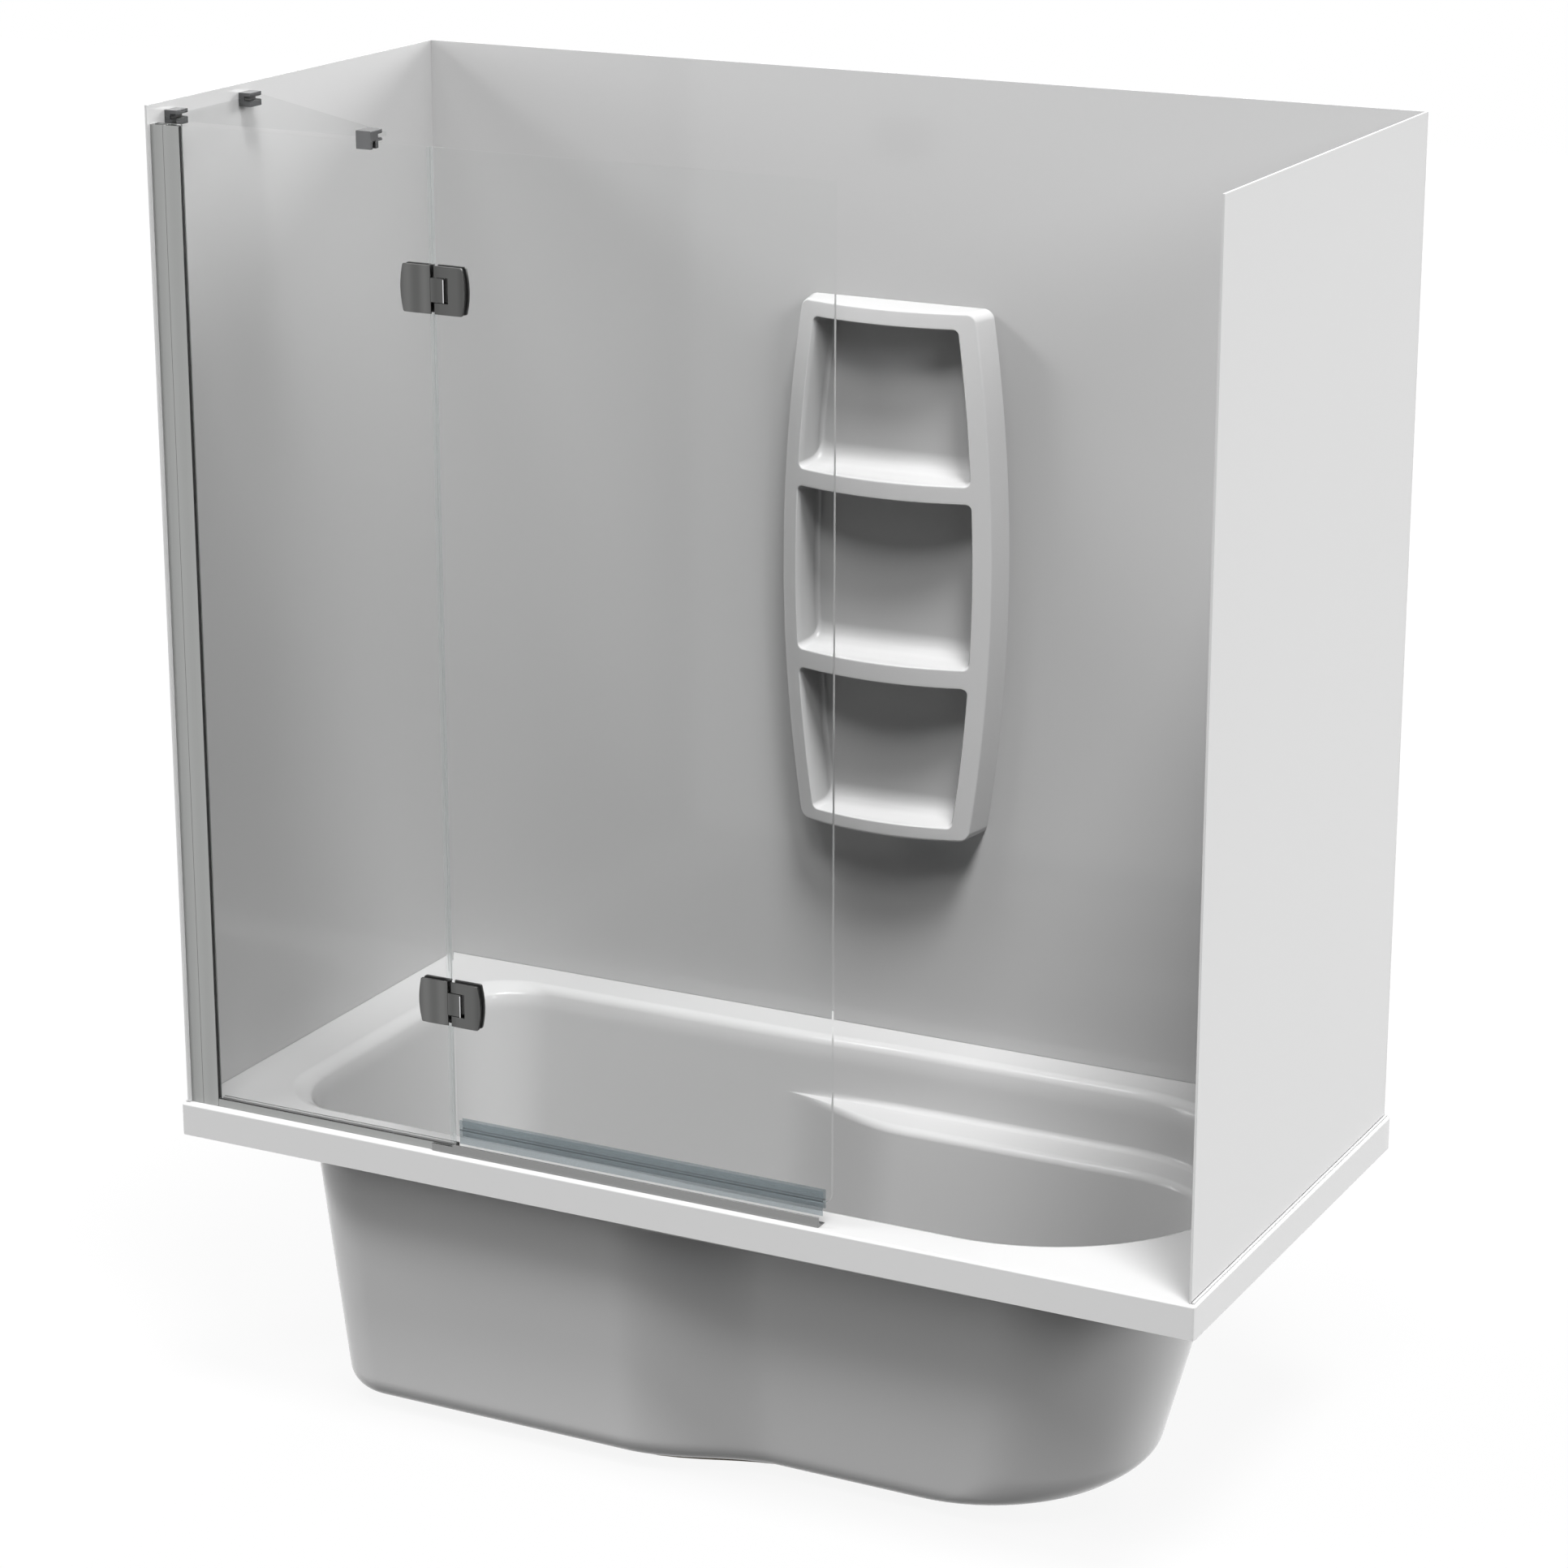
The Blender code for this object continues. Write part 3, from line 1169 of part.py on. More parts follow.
def brace():
    slot_top = BRACKET_TOP - BRACKET_PRONG
    glass_top = slot_top - LINER - 2 * JOINT
    glass_low = glass_top - BRACE_THICK
    slot_low = glass_low - LINER - 2 * JOINT
    clear = LINER + 2 * JOINT
    slot_front = BRACKET_BACK - BRACKET_SLOT_DEEP
    wall = PANEL_INSET + PANEL + JOINT
    wall_right = wall + WALL_BRACKET_WIDE
    wall_slot = wall_right - WALL_BRACKET_SLOT
    glass_front = slot_front + clear
    glass_left = wall_slot + clear
    right_back = BRACE_BACK - BRACE_SLOPE * (BRACE_RIGHT - glass_left)
    plan = [
        (glass_left, glass_front),
        (BRACE_RIGHT, glass_front),
        (BRACE_RIGHT, right_back),
        (glass_left, BRACE_BACK),
    ]
    pane = prism("brace_glass", [(rx(x), ry(y)) for x, y in plan], "z", rz(glass_low), rz(glass_top))
    paint(pane, CLEAR, 0.0, 0.02, 0.95)

    saddle = GLASS / 2 + SADDLE_LINER + 2 * JOINT
    saddle_top = SCREEN_TOP + SADDLE_LINER + 2 * JOINT
    outline = [
        (BRACKET_FRONT, BRACKET_TOP),
        (BRACKET_FRONT, BRACKET_LOW),
        (SCREEN_Y - saddle, BRACKET_LOW),
        (SCREEN_Y - saddle, saddle_top),
        (SCREEN_Y + saddle, saddle_top),
        (SCREEN_Y + saddle, BRACKET_LOW),
        (BRACKET_FOOT_BACK, BRACKET_LOW),
        (BRACKET_FOOT_BACK, BRACKET_STEP),
        (BRACKET_BACK, BRACKET_STEP),
        (BRACKET_BACK, slot_low),
        (slot_front, slot_low),
        (slot_front, slot_top),
        (BRACKET_BACK, slot_top),
        (BRACKET_BACK, BRACKET_TOP),
    ]
    place = [(ry(y), rz(z)) for y, z in outline]
    holder = prism("glass_bracket", place, "x", rx(BRACKET_LEFT), rx(BRACKET_RIGHT))
    paint(holder, GREY_METAL, 1.0, 0.3, 0.0)
    near = SCREEN_Y - GLASS / 2 - JOINT
    far = SCREEN_Y + GLASS / 2 + JOINT
    thin = SADDLE_LINER
    low = BRACKET_LOW + JOINT
    inner_top = SCREEN_TOP + JOINT
    liner = [(near - thin, low), (near, low), (near, inner_top), (far, inner_top), (far, low)]
    liner += [(far + thin, low), (far + thin, inner_top + thin), (near - thin, inner_top + thin)]
    ends = (rx(BRACKET_LEFT + LINER_TRIM), rx(BRACKET_RIGHT - LINER_TRIM))
    saddle_liner = prism("saddle_liner", [(ry(y), rz(z)) for y, z in liner], "x", ends[0], ends[1])
    paint(saddle_liner, BLACK, 0.0, 0.6, 0.0)

    back_liner = [(y, z) for y, z in cup(slot_front, BRACKET_BACK, slot_low, slot_top)]
    cup_a = prism("brace_liner_glass", [(ry(y), rz(z)) for y, z in back_liner], "x", ends[0], ends[1])
    paint(cup_a, BLACK, 0.0, 0.6, 0.0)
    wall_outline = [
        (wall, BRACKET_TOP),
        (wall, BRACKET_TOP - WALL_BRACKET_TALL),
        (wall_right, BRACKET_TOP - WALL_BRACKET_TALL),
        (wall_right, slot_low),
        (wall_slot, slot_low),
        (wall_slot, slot_top),
        (wall_right, slot_top),
        (wall_right, BRACKET_TOP),
    ]
    wall_place = [(rx(x), rz(z)) for x, z in wall_outline]
    wall_cup = [(rx(x), rz(z)) for x, z in cup(wall_slot, wall_right, slot_low, slot_top)]
    for word, start in WALL_BRACKETS:
        end = start + WALL_BRACKET_LONG
        body = prism("wall_bracket_" + word, wall_place, "y", ry(start), ry(end))
        paint(body, GREY_METAL, 1.0, 0.3, 0.0)
        low_y = ry(start + LINER_TRIM)
        liner_body = prism("brace_liner_" + word, wall_cup, "y", low_y, ry(end - LINER_TRIM))
        paint(liner_body, BLACK, 0.0, 0.6, 0.0)


def cup(start, end, low, high):
    """Section of a slot liner: closed at start, open towards end, JOINT clear of the slot."""
    a = start + JOINT
    b = end - LINER_TRIM
    z0 = low + JOINT
    z1 = high - JOINT
    t = LINER
    return [(a, z0), (b, z0), (b, z0 + t), (a + t, z0 + t), (a + t, z1 - t), (b, z1 - t), (b, z1), (a, z1)]


def main():
    clear_scene()
    tub_shell()
    base_board()
    waste()
    lining_panels()
    shelf_unit()
    jamb()
    rail()
    sill()
    glass_panes()
    seals()
    hinges()
    brace()


main()
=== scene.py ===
# %% [markdown]
# # Shower bath with a hinged glass screen
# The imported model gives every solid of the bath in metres. This lesson dresses
# it: the bowl and the shelf are drawn again with smooth, dense surfaces, the
# hinge leaves get their soft crown, and every piece gets its finish. The first
# step only loads the solids, because each later piece is placed on them.

# %% Load the fixed frame
import json
import math

import bmesh
import bpy
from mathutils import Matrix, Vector
from mathutils.geometry import delaunay_2d_cdt


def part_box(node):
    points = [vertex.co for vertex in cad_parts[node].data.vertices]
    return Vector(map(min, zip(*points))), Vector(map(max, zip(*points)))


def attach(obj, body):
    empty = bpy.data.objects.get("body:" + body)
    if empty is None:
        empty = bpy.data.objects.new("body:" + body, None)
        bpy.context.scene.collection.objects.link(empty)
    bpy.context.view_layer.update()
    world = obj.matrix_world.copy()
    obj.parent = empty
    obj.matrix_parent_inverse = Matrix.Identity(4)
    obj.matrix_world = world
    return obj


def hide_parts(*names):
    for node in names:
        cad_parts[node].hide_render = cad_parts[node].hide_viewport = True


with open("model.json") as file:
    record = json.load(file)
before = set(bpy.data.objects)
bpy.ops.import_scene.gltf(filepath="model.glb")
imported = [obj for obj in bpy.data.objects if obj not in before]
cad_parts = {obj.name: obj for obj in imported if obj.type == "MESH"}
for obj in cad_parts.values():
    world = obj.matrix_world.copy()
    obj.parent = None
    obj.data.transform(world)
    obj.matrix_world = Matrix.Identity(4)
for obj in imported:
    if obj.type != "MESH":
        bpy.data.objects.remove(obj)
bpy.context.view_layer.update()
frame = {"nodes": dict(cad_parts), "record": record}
nodes = frame["nodes"]

# %% [markdown]
# The photograph was taken with a long lens from the right and a little above.
# The camera stands where lines of the rim, the wall sheets and the glass fall on
# their pixels: 27 degrees round from the front and 17 degrees above level. The
# image is square, so one sensor width is enough. Standard is the plain way to
# turn light into pixels, in which a colour comes out as it is written.

# %% Camera
AZIMUTH, ELEVATION = 0.4733, 0.3025
CAMERA_AT = (2.7147, -5.2997, 2.8624)
LENS, SENSOR, SEES_TO = 100.13, 36, 100
aim = Vector((
    -math.sin(AZIMUTH) * math.cos(ELEVATION),
    math.cos(AZIMUTH) * math.cos(ELEVATION),
    -math.sin(ELEVATION),
))
camera = bpy.data.objects.new("camera", bpy.data.cameras.new("camera"))
camera.data.lens = LENS
camera.data.sensor_width = SENSOR
camera.data.clip_end = SEES_TO
camera.location = CAMERA_AT
camera.rotation_euler = aim.to_track_quat("-Z", "Y").to_euler()
bpy.context.scene.collection.objects.link(camera)
bpy.context.scene.camera = camera
bpy.context.scene.view_settings.view_transform = "Standard"
print("camera looks along", tuple(round(c, 3) for c in aim))

# %% [markdown]
# Places on a bath are easiest to think of as a maker measures them: along from
# the left end, back from the front edge, and up from the top of the rim. Three
# short functions turn such numbers into the model's own frame, and their
# origins are read from the tub's solid, so nothing is fitted by eye.

# %% Measuring from the rim
rim_low, rim_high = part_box("tub_shell")
LENGTH = rim_high.x - rim_low.x
DEPTH = rim_high.y - rim_low.y


def along(x):
    return rim_low.x + x


def deep(y):
    return rim_low.y + y


def over(z):
    return rim_high.z + z


print("bath", round(LENGTH, 4), "x", round(DEPTH, 4), "rim at", round(rim_high.z, 4))

# %% [markdown]
# Most pieces here are skins: closed rings of points stacked one after another,
# each joined to the next by a band of four-sided faces. The helper below does
# that and returns the bmesh, so that ends can still be filled. A second helper
# turns it into an object, with smooth shading that breaks only at real edges,
# and hangs it on the body it moves with.

# %% Skins and objects
CREASE = 35  # degrees; a sharper turn than this stays an edge


def band(bm, low, high):
    for i in range(len(low)):
        j = (i + 1) % len(low)
        bm.faces.new((low[i], low[j], high[j], high[i]))


def skin(rings, bm=None):
    """Joins rings of equal length with bands; returns the bmesh and its rows of points."""
    bm = bm or bmesh.new()
    rows = [[bm.verts.new(p) for p in ring] for ring in rings]
    for low, high in zip(rows, rows[1:]):
        band(bm, low, high)
    return bm, rows


def make_piece(name, bm, body, replaced, crease=CREASE):
    bmesh.ops.recalc_face_normals(bm, faces=bm.faces)
    mesh = bpy.data.meshes.new(name)
    bm.to_mesh(mesh)
    bm.free()
    mesh.shade_smooth()
    mesh.set_sharp_from_angle(angle=math.radians(crease))
    piece = bpy.data.objects.new(name, mesh)
    bpy.context.scene.collection.objects.link(piece)
    even = piece.modifiers.new("even_shading", "WEIGHTED_NORMAL")
    even.keep_sharp = True
    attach(piece, body)
    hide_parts(*replaced)
    print(name, len(mesh.polygons), "faces")
    return piece


# %% [markdown]
# The tub is vacuum-formed from one acrylic sheet: a flat rim with a turned-down
# edge, and a bowl with a square left end, a waist, and a half-round right end
# with an arm ledge inside it. It could be sculpted, but a formed sheet has the
# same outline family at every level, so it is drawn as level rings: one plan
# outline whose inset, waist and corner radius change with height. The same rings
# moved out by the sheet's thickness give the outside of the tub.

# %% Plan outline of the bowl
SHEET = 0.005
OPEN_LEFT, OPEN_RIGHT, OPEN_HALF = 0.108, LENGTH - 0.081, 0.292
FLARE, LEFT_STEP = 0.008, 0.004
CORNER_AT_RIM, CORNER_BELOW = 0.104, 0.128
WAIST_FROM, WAIST_TO = LENGTH * 0.4125, LENGTH * 0.55
CORNER_POINTS, PLAIN_POINTS, WAIST_POINTS, END_POINTS, LEFT_POINTS = 14, 6, 40, 72, 5
QUARTER = math.pi / 2


def clamp(t):
    return min(max(t, 0.0), 1.0)


def ease(t):
    t = clamp(t)
    return t * t * (3 - 2 * t)


def arc(cx, cy, radius, start, points, last=False):
    """Quarter circle of points from angle start, with or without its last one."""
    turn = [start + QUARTER * i / points for i in range(points + last)]
    return [(cx + radius * math.cos(a), cy + radius * math.sin(a)) for a in turn]


def bowl_plan(inset, end_inset, squeeze, below):
    """Outline of the bowl; squeeze narrows its right part, below is 1 under the lip."""
    left = OPEN_LEFT + inset + LEFT_STEP * below
    half = OPEN_HALF - inset
    right_half = half - squeeze + FLARE
    centre = OPEN_RIGHT - end_inset - right_half
    corner = CORNER_AT_RIM + (CORNER_BELOW - CORNER_AT_RIM) * below - inset
    spans = (
        (left + corner, WAIST_FROM, PLAIN_POINTS), (WAIST_FROM, WAIST_TO, WAIST_POINTS),
        (WAIST_TO, centre, PLAIN_POINTS),
    )
    side = []
    for start, end, points in spans:
        for i in range(points):
            x = start + (end - start) * i / points
            waist = ease((x - WAIST_FROM) / (WAIST_TO - WAIST_FROM))
            side.append((x, half - (half - right_half) * waist))
    ring = arc(left + corner, corner - half, corner, math.pi, CORNER_POINTS)
    ring += [(x, -y) for x, y in side]
    for i in range(END_POINTS + 1):
        a = math.pi * (i / END_POINTS - 0.5)
        ring.append((centre + right_half * math.cos(a), right_half * math.sin(a)))
    ring += side[::-1]
    ring += arc(left + corner, half - corner, corner, QUARTER, CORNER_POINTS, True)[1:]
    straight = half - corner
    ring += [(left, straight - 2 * straight * i / LEFT_POINTS) for i in range(1, LEFT_POINTS)]
    return ring


plan = bowl_plan(0, 0, 0, 0)
opening = max(x for x, _ in plan) - min(x for x, _ in plan)
print("opening", len(plan), "points,", round(opening, 4), "m long")

# %% [markdown]
# A formed wall leans, or it would not come off its mould: by one part in nine
# all round, and by more at the right end below the ledge, like a backrest. Near
# the floor the right end sweeps in along part of an ellipse. Each slope is a
# small function of the height, so that every ring can ask for its own.

# %% Slopes of the wall
TUB_DEEP = 0.487
LIP_R, NOSE_R, LEDGE_INNER_R, FLOOR_R = 0.018, 0.012, 0.010, 0.036
WALL_DRAFT, END_DRAFT = 0.110, 0.270
LEDGE_DOWN, LEDGE_WIDE, LEDGE_END, LEDGE_FALL = 0.093, 0.065, 0.0335, 0.002
SWEEP_TALL, SWEEP_RUN = 0.072, 0.135
FLOOR = SHEET - TUB_DEEP
LEAN = math.atan(WALL_DRAFT)
LEDGE_FOOT = -LEDGE_DOWN - LEDGE_FALL - NOSE_R


def wall_in(height):
    return -WALL_DRAFT * height


def end_in(height):
    return wall_in(height) + (END_DRAFT - WALL_DRAFT) * max(LEDGE_FOOT - height, 0.0)


def end_sweep(height):
    """How far the right end has run in towards the floor at a height."""
    share = clamp(1 - (height - FLOOR) / SWEEP_TALL)
    return SWEEP_RUN * (1 - math.sqrt(1 - share * share))


print("the wall leans", round(math.degrees(LEAN), 2), "degrees")

# %% [markdown]
# Each level of the bowl is a short record: how far in, how far in at the right
# end, how much of the ledge is present, its height, and which way the sheet's
# surface faces there. From the rim down they are the rolled lip, the wall, the
# small inner radius and flat of the ledge, its rounded nose, the lower wall, and
# the sweep into the floor.

# %% Levels of the bowl
LIP_ROWS, WALL_ROWS, INNER_ROWS, NOSE_ROWS = 10, 6, 7, 8
LOW_ROWS, SWEEP_ROWS, FLOOR_ROWS = 6, 8, 12


def shares(count):
    """Even steps from 0 to 1."""
    return [i / count for i in range(count + 1)]


def wall_level(height, share, inward=math.cos(LEAN), down=math.sin(LEAN), sweep=0.0):
    """Level on the wall; share is the ledge's, inward and down are the way it faces."""
    return wall_in(height), end_in(height) + sweep, share, height, inward, down


def bowl_levels():
    levels = []
    for t in shares(LIP_ROWS):
        a = QUARTER - (QUARTER - LEAN) * t
        inset = LIP_R * (math.cos(a) - 1)
        height = LIP_R * (math.sin(a) - 1)
        levels.append((inset, inset, 0.0, height, math.cos(a), math.sin(a)))
    top, foot = levels[-1][3], LEDGE_INNER_R - LEDGE_DOWN
    for t in shares(WALL_ROWS)[1:-1]:
        levels.append(wall_level(top + (foot - top) * t, 0.0))
    for t in shares(INNER_ROWS):
        a = QUARTER * t
        share = LEDGE_INNER_R * (1 - math.cos(a)) / LEDGE_WIDE
        height = LEDGE_INNER_R * (1 - math.sin(a)) - LEDGE_DOWN
        levels.append(wall_level(height, share, 1.0, math.sin(a)))
    for t in shares(NOSE_ROWS):
        a = QUARTER * t
        share = 1 - NOSE_R * (1 - math.sin(a)) / LEDGE_WIDE
        height = -LEDGE_DOWN - LEDGE_FALL - NOSE_R * (1 - math.cos(a))
        levels.append(wall_level(height, share, 1.0, math.cos(a)))
    start = FLOOR + FLOOR_R * (1 - math.sin(LEAN))
    for t in shares(LOW_ROWS)[1:-1]:
        height = LEDGE_FOOT + (FLOOR + SWEEP_TALL - LEDGE_FOOT) * t
        levels.append(wall_level(height, 1.0))
    for t in shares(SWEEP_ROWS)[:-1]:
        height = FLOOR + SWEEP_TALL + (start - FLOOR - SWEEP_TALL) * t
        levels.append(wall_level(height, 1.0, sweep=end_sweep(height)))
    for t in shares(FLOOR_ROWS):
        a = LEAN + (QUARTER - LEAN) * t
        height = FLOOR + FLOOR_R * (1 - math.sin(a))
        run = FLOOR_R * (math.cos(LEAN) - math.cos(a))
        end = end_in(start) + run + end_sweep(height)
        levels.append((wall_in(start) + run, end, 1.0, height, math.cos(a), math.sin(a)))
    return levels


def level_ring(level, thick):
    inset, end, share, height, inward, down = level
    ring = bowl_plan(
        inset - thick * inward, end + LEDGE_END * share - thick * inward,
        LEDGE_WIDE * share, ease(-height / LIP_R),
    )
    z = over(height - thick * down)
    return [(along(x), y, z) for x, y in ring]


levels = bowl_levels()
print("bowl levels:", len(levels))

# %% [markdown]
# The rim is a rectangle, the opening is not, and the two rings must have the
# same number of points. Each side of the rectangle takes the points of the
# opening between two corner marks, spread by the length they have there.

# %% Rim rectangle
RIM_EDGE_R, RIM_CORNER_R, SKIRT_TALL = 0.0035, 0.004, 0.0495


def rim_ring(inset, radius, height):
    """Rectangle of the rim at a height, with as many points as the opening."""
    count = len(plan)
    side = 2 * PLAIN_POINTS + WAIST_POINTS
    end_start = CORNER_POINTS + side
    marks = (
        CORNER_POINTS // 2, end_start + END_POINTS // 4,
        end_start + END_POINTS * 3 // 4, end_start + END_POINTS + side + CORNER_POINTS // 2,
    )
    x0, x1, y0, y1 = inset, LENGTH - inset, inset - DEPTH / 2, DEPTH / 2 - inset
    corners = ((x0, y0), (x1, y0), (x1, y1), (x0, y1))
    inward = ((1, 1), (-1, 1), (-1, -1), (1, -1))
    slant = radius * (1 - math.sqrt(0.5))
    ring = [None] * count
    for k in range(4):
        here, there = corners[k], corners[(k + 1) % 4]
        way = [(there[c] > here[c]) - (there[c] < here[c]) for c in (0, 1)]
        first = [here[c] + way[c] * radius for c in (0, 1)]
        last = [there[c] - way[c] * radius for c in (0, 1)]
        ring[marks[k]] = (here[0] + inward[k][0] * slant, here[1] + inward[k][1] * slant)
        done = [0.0]
        for step in range(2, (marks[(k + 1) % 4] - marks[k]) % count):
            spot = marks[k] + step
            done.append(done[-1] + math.dist(plan[(spot - 1) % count], plan[spot % count]))
        for step, run in enumerate(done):
            t = run / done[-1]
            place = tuple(first[c] + (last[c] - first[c]) * t for c in (0, 1))
            ring[(marks[k] + 1 + step) % count] = place
    return [(along(x), y, over(height)) for x, y in ring]


print("rim ring:", len(rim_ring(0, RIM_CORNER_R, 0)), "points")

# %% [markdown]
# Now the whole tub is one closed skin: out under the floor, up the outside of
# the bowl, along under the rim, round the skirt and its small top radius, over
# the rim and down the inside. The waste hole is left open in both floors, with
# a stepped seat between, so the chrome flange sits flush.

# %% Tub
WASTE_X, FLANGE_R, TUBE_R, FLANGE_THICK, JOINT = 0.300, 0.0350, 0.0260, 0.0022, 0.0003
EDGE_ROWS, CIRCLE_POINTS = 6, 64


def circle(x, z, radius):
    """Level circle about the bath's long middle line."""
    turn = [2 * math.pi * i / CIRCLE_POINTS for i in range(CIRCLE_POINTS)]
    return [(x + radius * math.cos(a), radius * math.sin(a), z) for a in turn]


def ring_edges(bm, ring):
    pairs = [(vert, ring[(i + 1) % len(ring)]) for i, vert in enumerate(ring)]
    return [bm.edges.get(pair) or bm.edges.new(pair) for pair in pairs]


def tub():
    rings = [level_ring(level, SHEET) for level in levels[::-1]]
    inner = RIM_CORNER_R / 2
    rings.append(rim_ring(SHEET, inner, -SHEET))
    rings.append(rim_ring(SHEET, inner, -SKIRT_TALL))
    rings.append(rim_ring(0, RIM_CORNER_R, -SKIRT_TALL))
    for t in shares(EDGE_ROWS):
        a = QUARTER * t
        inset = RIM_EDGE_R * (1 - math.cos(a))
        rings.append(rim_ring(inset, RIM_CORNER_R, RIM_EDGE_R * (math.sin(a) - 1)))
    rings += [level_ring(level, 0) for level in levels]
    bm, rows = skin(rings)
    x, floor, under = along(WASTE_X), over(FLOOR), over(-TUB_DEEP)
    seat = floor - FLANGE_THICK - JOINT
    wide, narrow = FLANGE_R + JOINT, TUBE_R + JOINT
    steps = ((floor, wide), (seat, wide), (seat, narrow), (under, narrow))
    _, hole = skin([circle(x, z, radius) for z, radius in steps], bm)
    for floor_ring, hole_ring in ((rows[-1], hole[0]), (rows[0], hole[-1])):
        edges = ring_edges(bm, floor_ring) + ring_edges(bm, hole_ring)
        bmesh.ops.triangle_fill(bm, use_beauty=True, use_dissolve=False, edges=edges)
    return make_piece("tub", bm, "bath", ["tub_shell"])


tub_piece = tub()

# %% [markdown]
# The shelf is a barrel-shaped moulding with a bowed front and three pockets.
# Cutting pockets from a solid leaves sharp mouths, so it is drawn as surfaces
# instead. The front is a flat sheet in front view, with three holes in it, which
# a triangulation fills with an even grid; then each point is pushed out by the
# bow. Rings round the outside carry on over the rounded edge to the wall, and
# rings round each mouth roll into its pocket.

# %% Shelf outline and bow
SHELF_X, SHELF_TOP, SHELF_LOW = LENGTH / 2 + 0.0022, 1.1352, 0.3385
HALF_END, HALF_MID, SHELF_DEEP, SHELF_DRAFT = 0.1488, 0.1807, 0.0425, 0.0095
BOW_R, SHELF_CORNER, SHELF_EDGE, FOOT_DROP = 0.407, 0.014, 0.0035, 0.0025
BORDER, MOUTH_R = 0.0275, 0.0022
POCKETS = ((0.882, 1.1100), (0.6055, 0.8545), (0.3570, 0.5755))
wall_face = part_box("shelf_unit")[1].y
FOOT_TALL = POCKETS[2][0] - MOUTH_R - SHELF_LOW


def shelf_half(height):
    """Half the shelf's width at a height; its sides bulge like a barrel's."""
    share = (height - (SHELF_TOP + SHELF_LOW) / 2) / ((SHELF_TOP - SHELF_LOW) / 2)
    return HALF_MID - (HALF_MID - HALF_END) * share * share


def front_of(x, height):
    """How far the bowed front stands out from the wall."""
    half = shelf_half(min(max(height, SHELF_LOW), SHELF_TOP)) - SHELF_DRAFT
    share = min(abs(x) / (half - SHELF_EDGE), 1.0)
    return SHELF_DEEP + half * half / (2 * BOW_R) * (1 - share * share)


def mirrored(right, end_points):
    """Closed front view from its right side: top, left side and foot are added."""
    def across(x, z):
        return [(x - 2 * x * i / end_points, z) for i in range(1, end_points)]

    left = [(-x, z) for x, z in right[::-1]]
    return right + across(*right[-1]) + left + across(*left[-1])


def barrel(inset, draft, side_points=44, end_points=22, corner_points=9):
    """Front view of the shelf's outline, inset, and with its sides drawn in by draft."""
    low, high = SHELF_LOW + SHELF_CORNER, SHELF_TOP - SHELF_CORNER
    radius = SHELF_CORNER - inset

    def corner(a, level):
        z = level + radius * math.sin(a)
        return (shelf_half(z) - draft - SHELF_CORNER + radius * math.cos(a), z)

    right = [corner(-QUARTER + QUARTER * i / corner_points, low) for i in range(corner_points)]
    for i in range(side_points):
        z = low + (high - low) * i / side_points
        right.append((shelf_half(z) - draft - inset, z))
    right += [corner(QUARTER * i / corner_points, high) for i in range(corner_points + 1)]
    return mirrored(right, end_points)


def shelf_point(x, out, height):
    """Place on the bath of a shelf point, out metres from the wall."""
    foot = clamp(1 - (height - SHELF_LOW) / FOOT_TALL)
    drop = FOOT_DROP * foot * out / SHELF_DEEP
    return (along(SHELF_X + x), wall_face - out, over(height - drop))


print("shelf outline:", len(barrel(0, 0)), "points")

# %% [markdown]
# A pocket narrows towards its back, and its back corners are rounded. One
# function gives its outline, another how much it has narrowed at a depth. The
# floor runs up into the back in a wider cove, which a wet shelf drains better by.

# %% Pocket outline
POCKET_R, SIDE_IN, LOW_IN, TOP_IN = 0.009, 0.013, 0.006, 0.004
BACK_AT, BACK_R, COVE_R, STRAIGHT_FROM = 0.005, 0.010, 0.026, 0.0545
WALL_SHARE, BACK_SHARE = 0.8, 0.5
outline_store = {}


def floor_cove(out):
    """How far the cove has lifted a pocket's floor, out metres from the wall."""
    share = clamp(1 - (out - BACK_AT) / COVE_R)
    return COVE_R * (1 - math.sqrt(1 - share * share))


def pocket_outline(low, high, share, out=1.0, corner_points=8, side_points=14, end_points=14):
    """Front view of a pocket, narrowed by a share and with its floor as at that depth."""
    z0, z1 = low + LOW_IN * share + floor_cove(out), high - TOP_IN * share

    def half(z):
        return shelf_half(z) - SHELF_DRAFT - BORDER - SIDE_IN * share

    right = []
    for z_corner, start in ((z0 + POCKET_R, -QUARTER), (z1 - POCKET_R, 0.0)):
        x = half(z_corner) - POCKET_R
        right += arc(x, z_corner, POCKET_R, start, corner_points, True)
        if start:
            for i in range(1, side_points):
                z = z0 + POCKET_R + (z1 - z0 - 2 * POCKET_R) * i / side_points
                right.append((half(z), z))
    return mirrored(right, end_points)


def grown(outline, distance):
    """Outline moved outward by a distance along its own normals."""
    moved = []
    for i, (x, z) in enumerate(outline):
        before, after = outline[i - 1], outline[(i + 1) % len(outline)]
        tx, tz = after[0] - before[0], after[1] - before[1]
        size = math.hypot(tx, tz)
        moved.append((x + distance * tz / size, z - distance * tx / size))
    return moved


def pocket_share(out):
    """How much a pocket has narrowed, out metres from the wall."""
    return clamp((STRAIGHT_FROM - out) / (STRAIGHT_FROM - BACK_AT - BACK_R)) * WALL_SHARE


def stored_outline(low, high, out):
    """Outline at a depth, kept, because many points of a row lie at the same one."""
    key = (low, high, round(out, 4))
    if key not in outline_store:
        outline_store[key] = pocket_outline(low, high, pocket_share(key[2]), key[2])
    return outline_store[key]


print("pocket mouth:", len(pocket_outline(*POCKETS[0], 0.0)), "points")

# %% [markdown]
# A row is that outline at one depth: first the roll of the mouth, then the
# straight wall, then the radius at the back. The front is bowed, so the points
# of a mouth lie at different depths, and each one runs from its own depth to the
# level back, where the last row is filled.

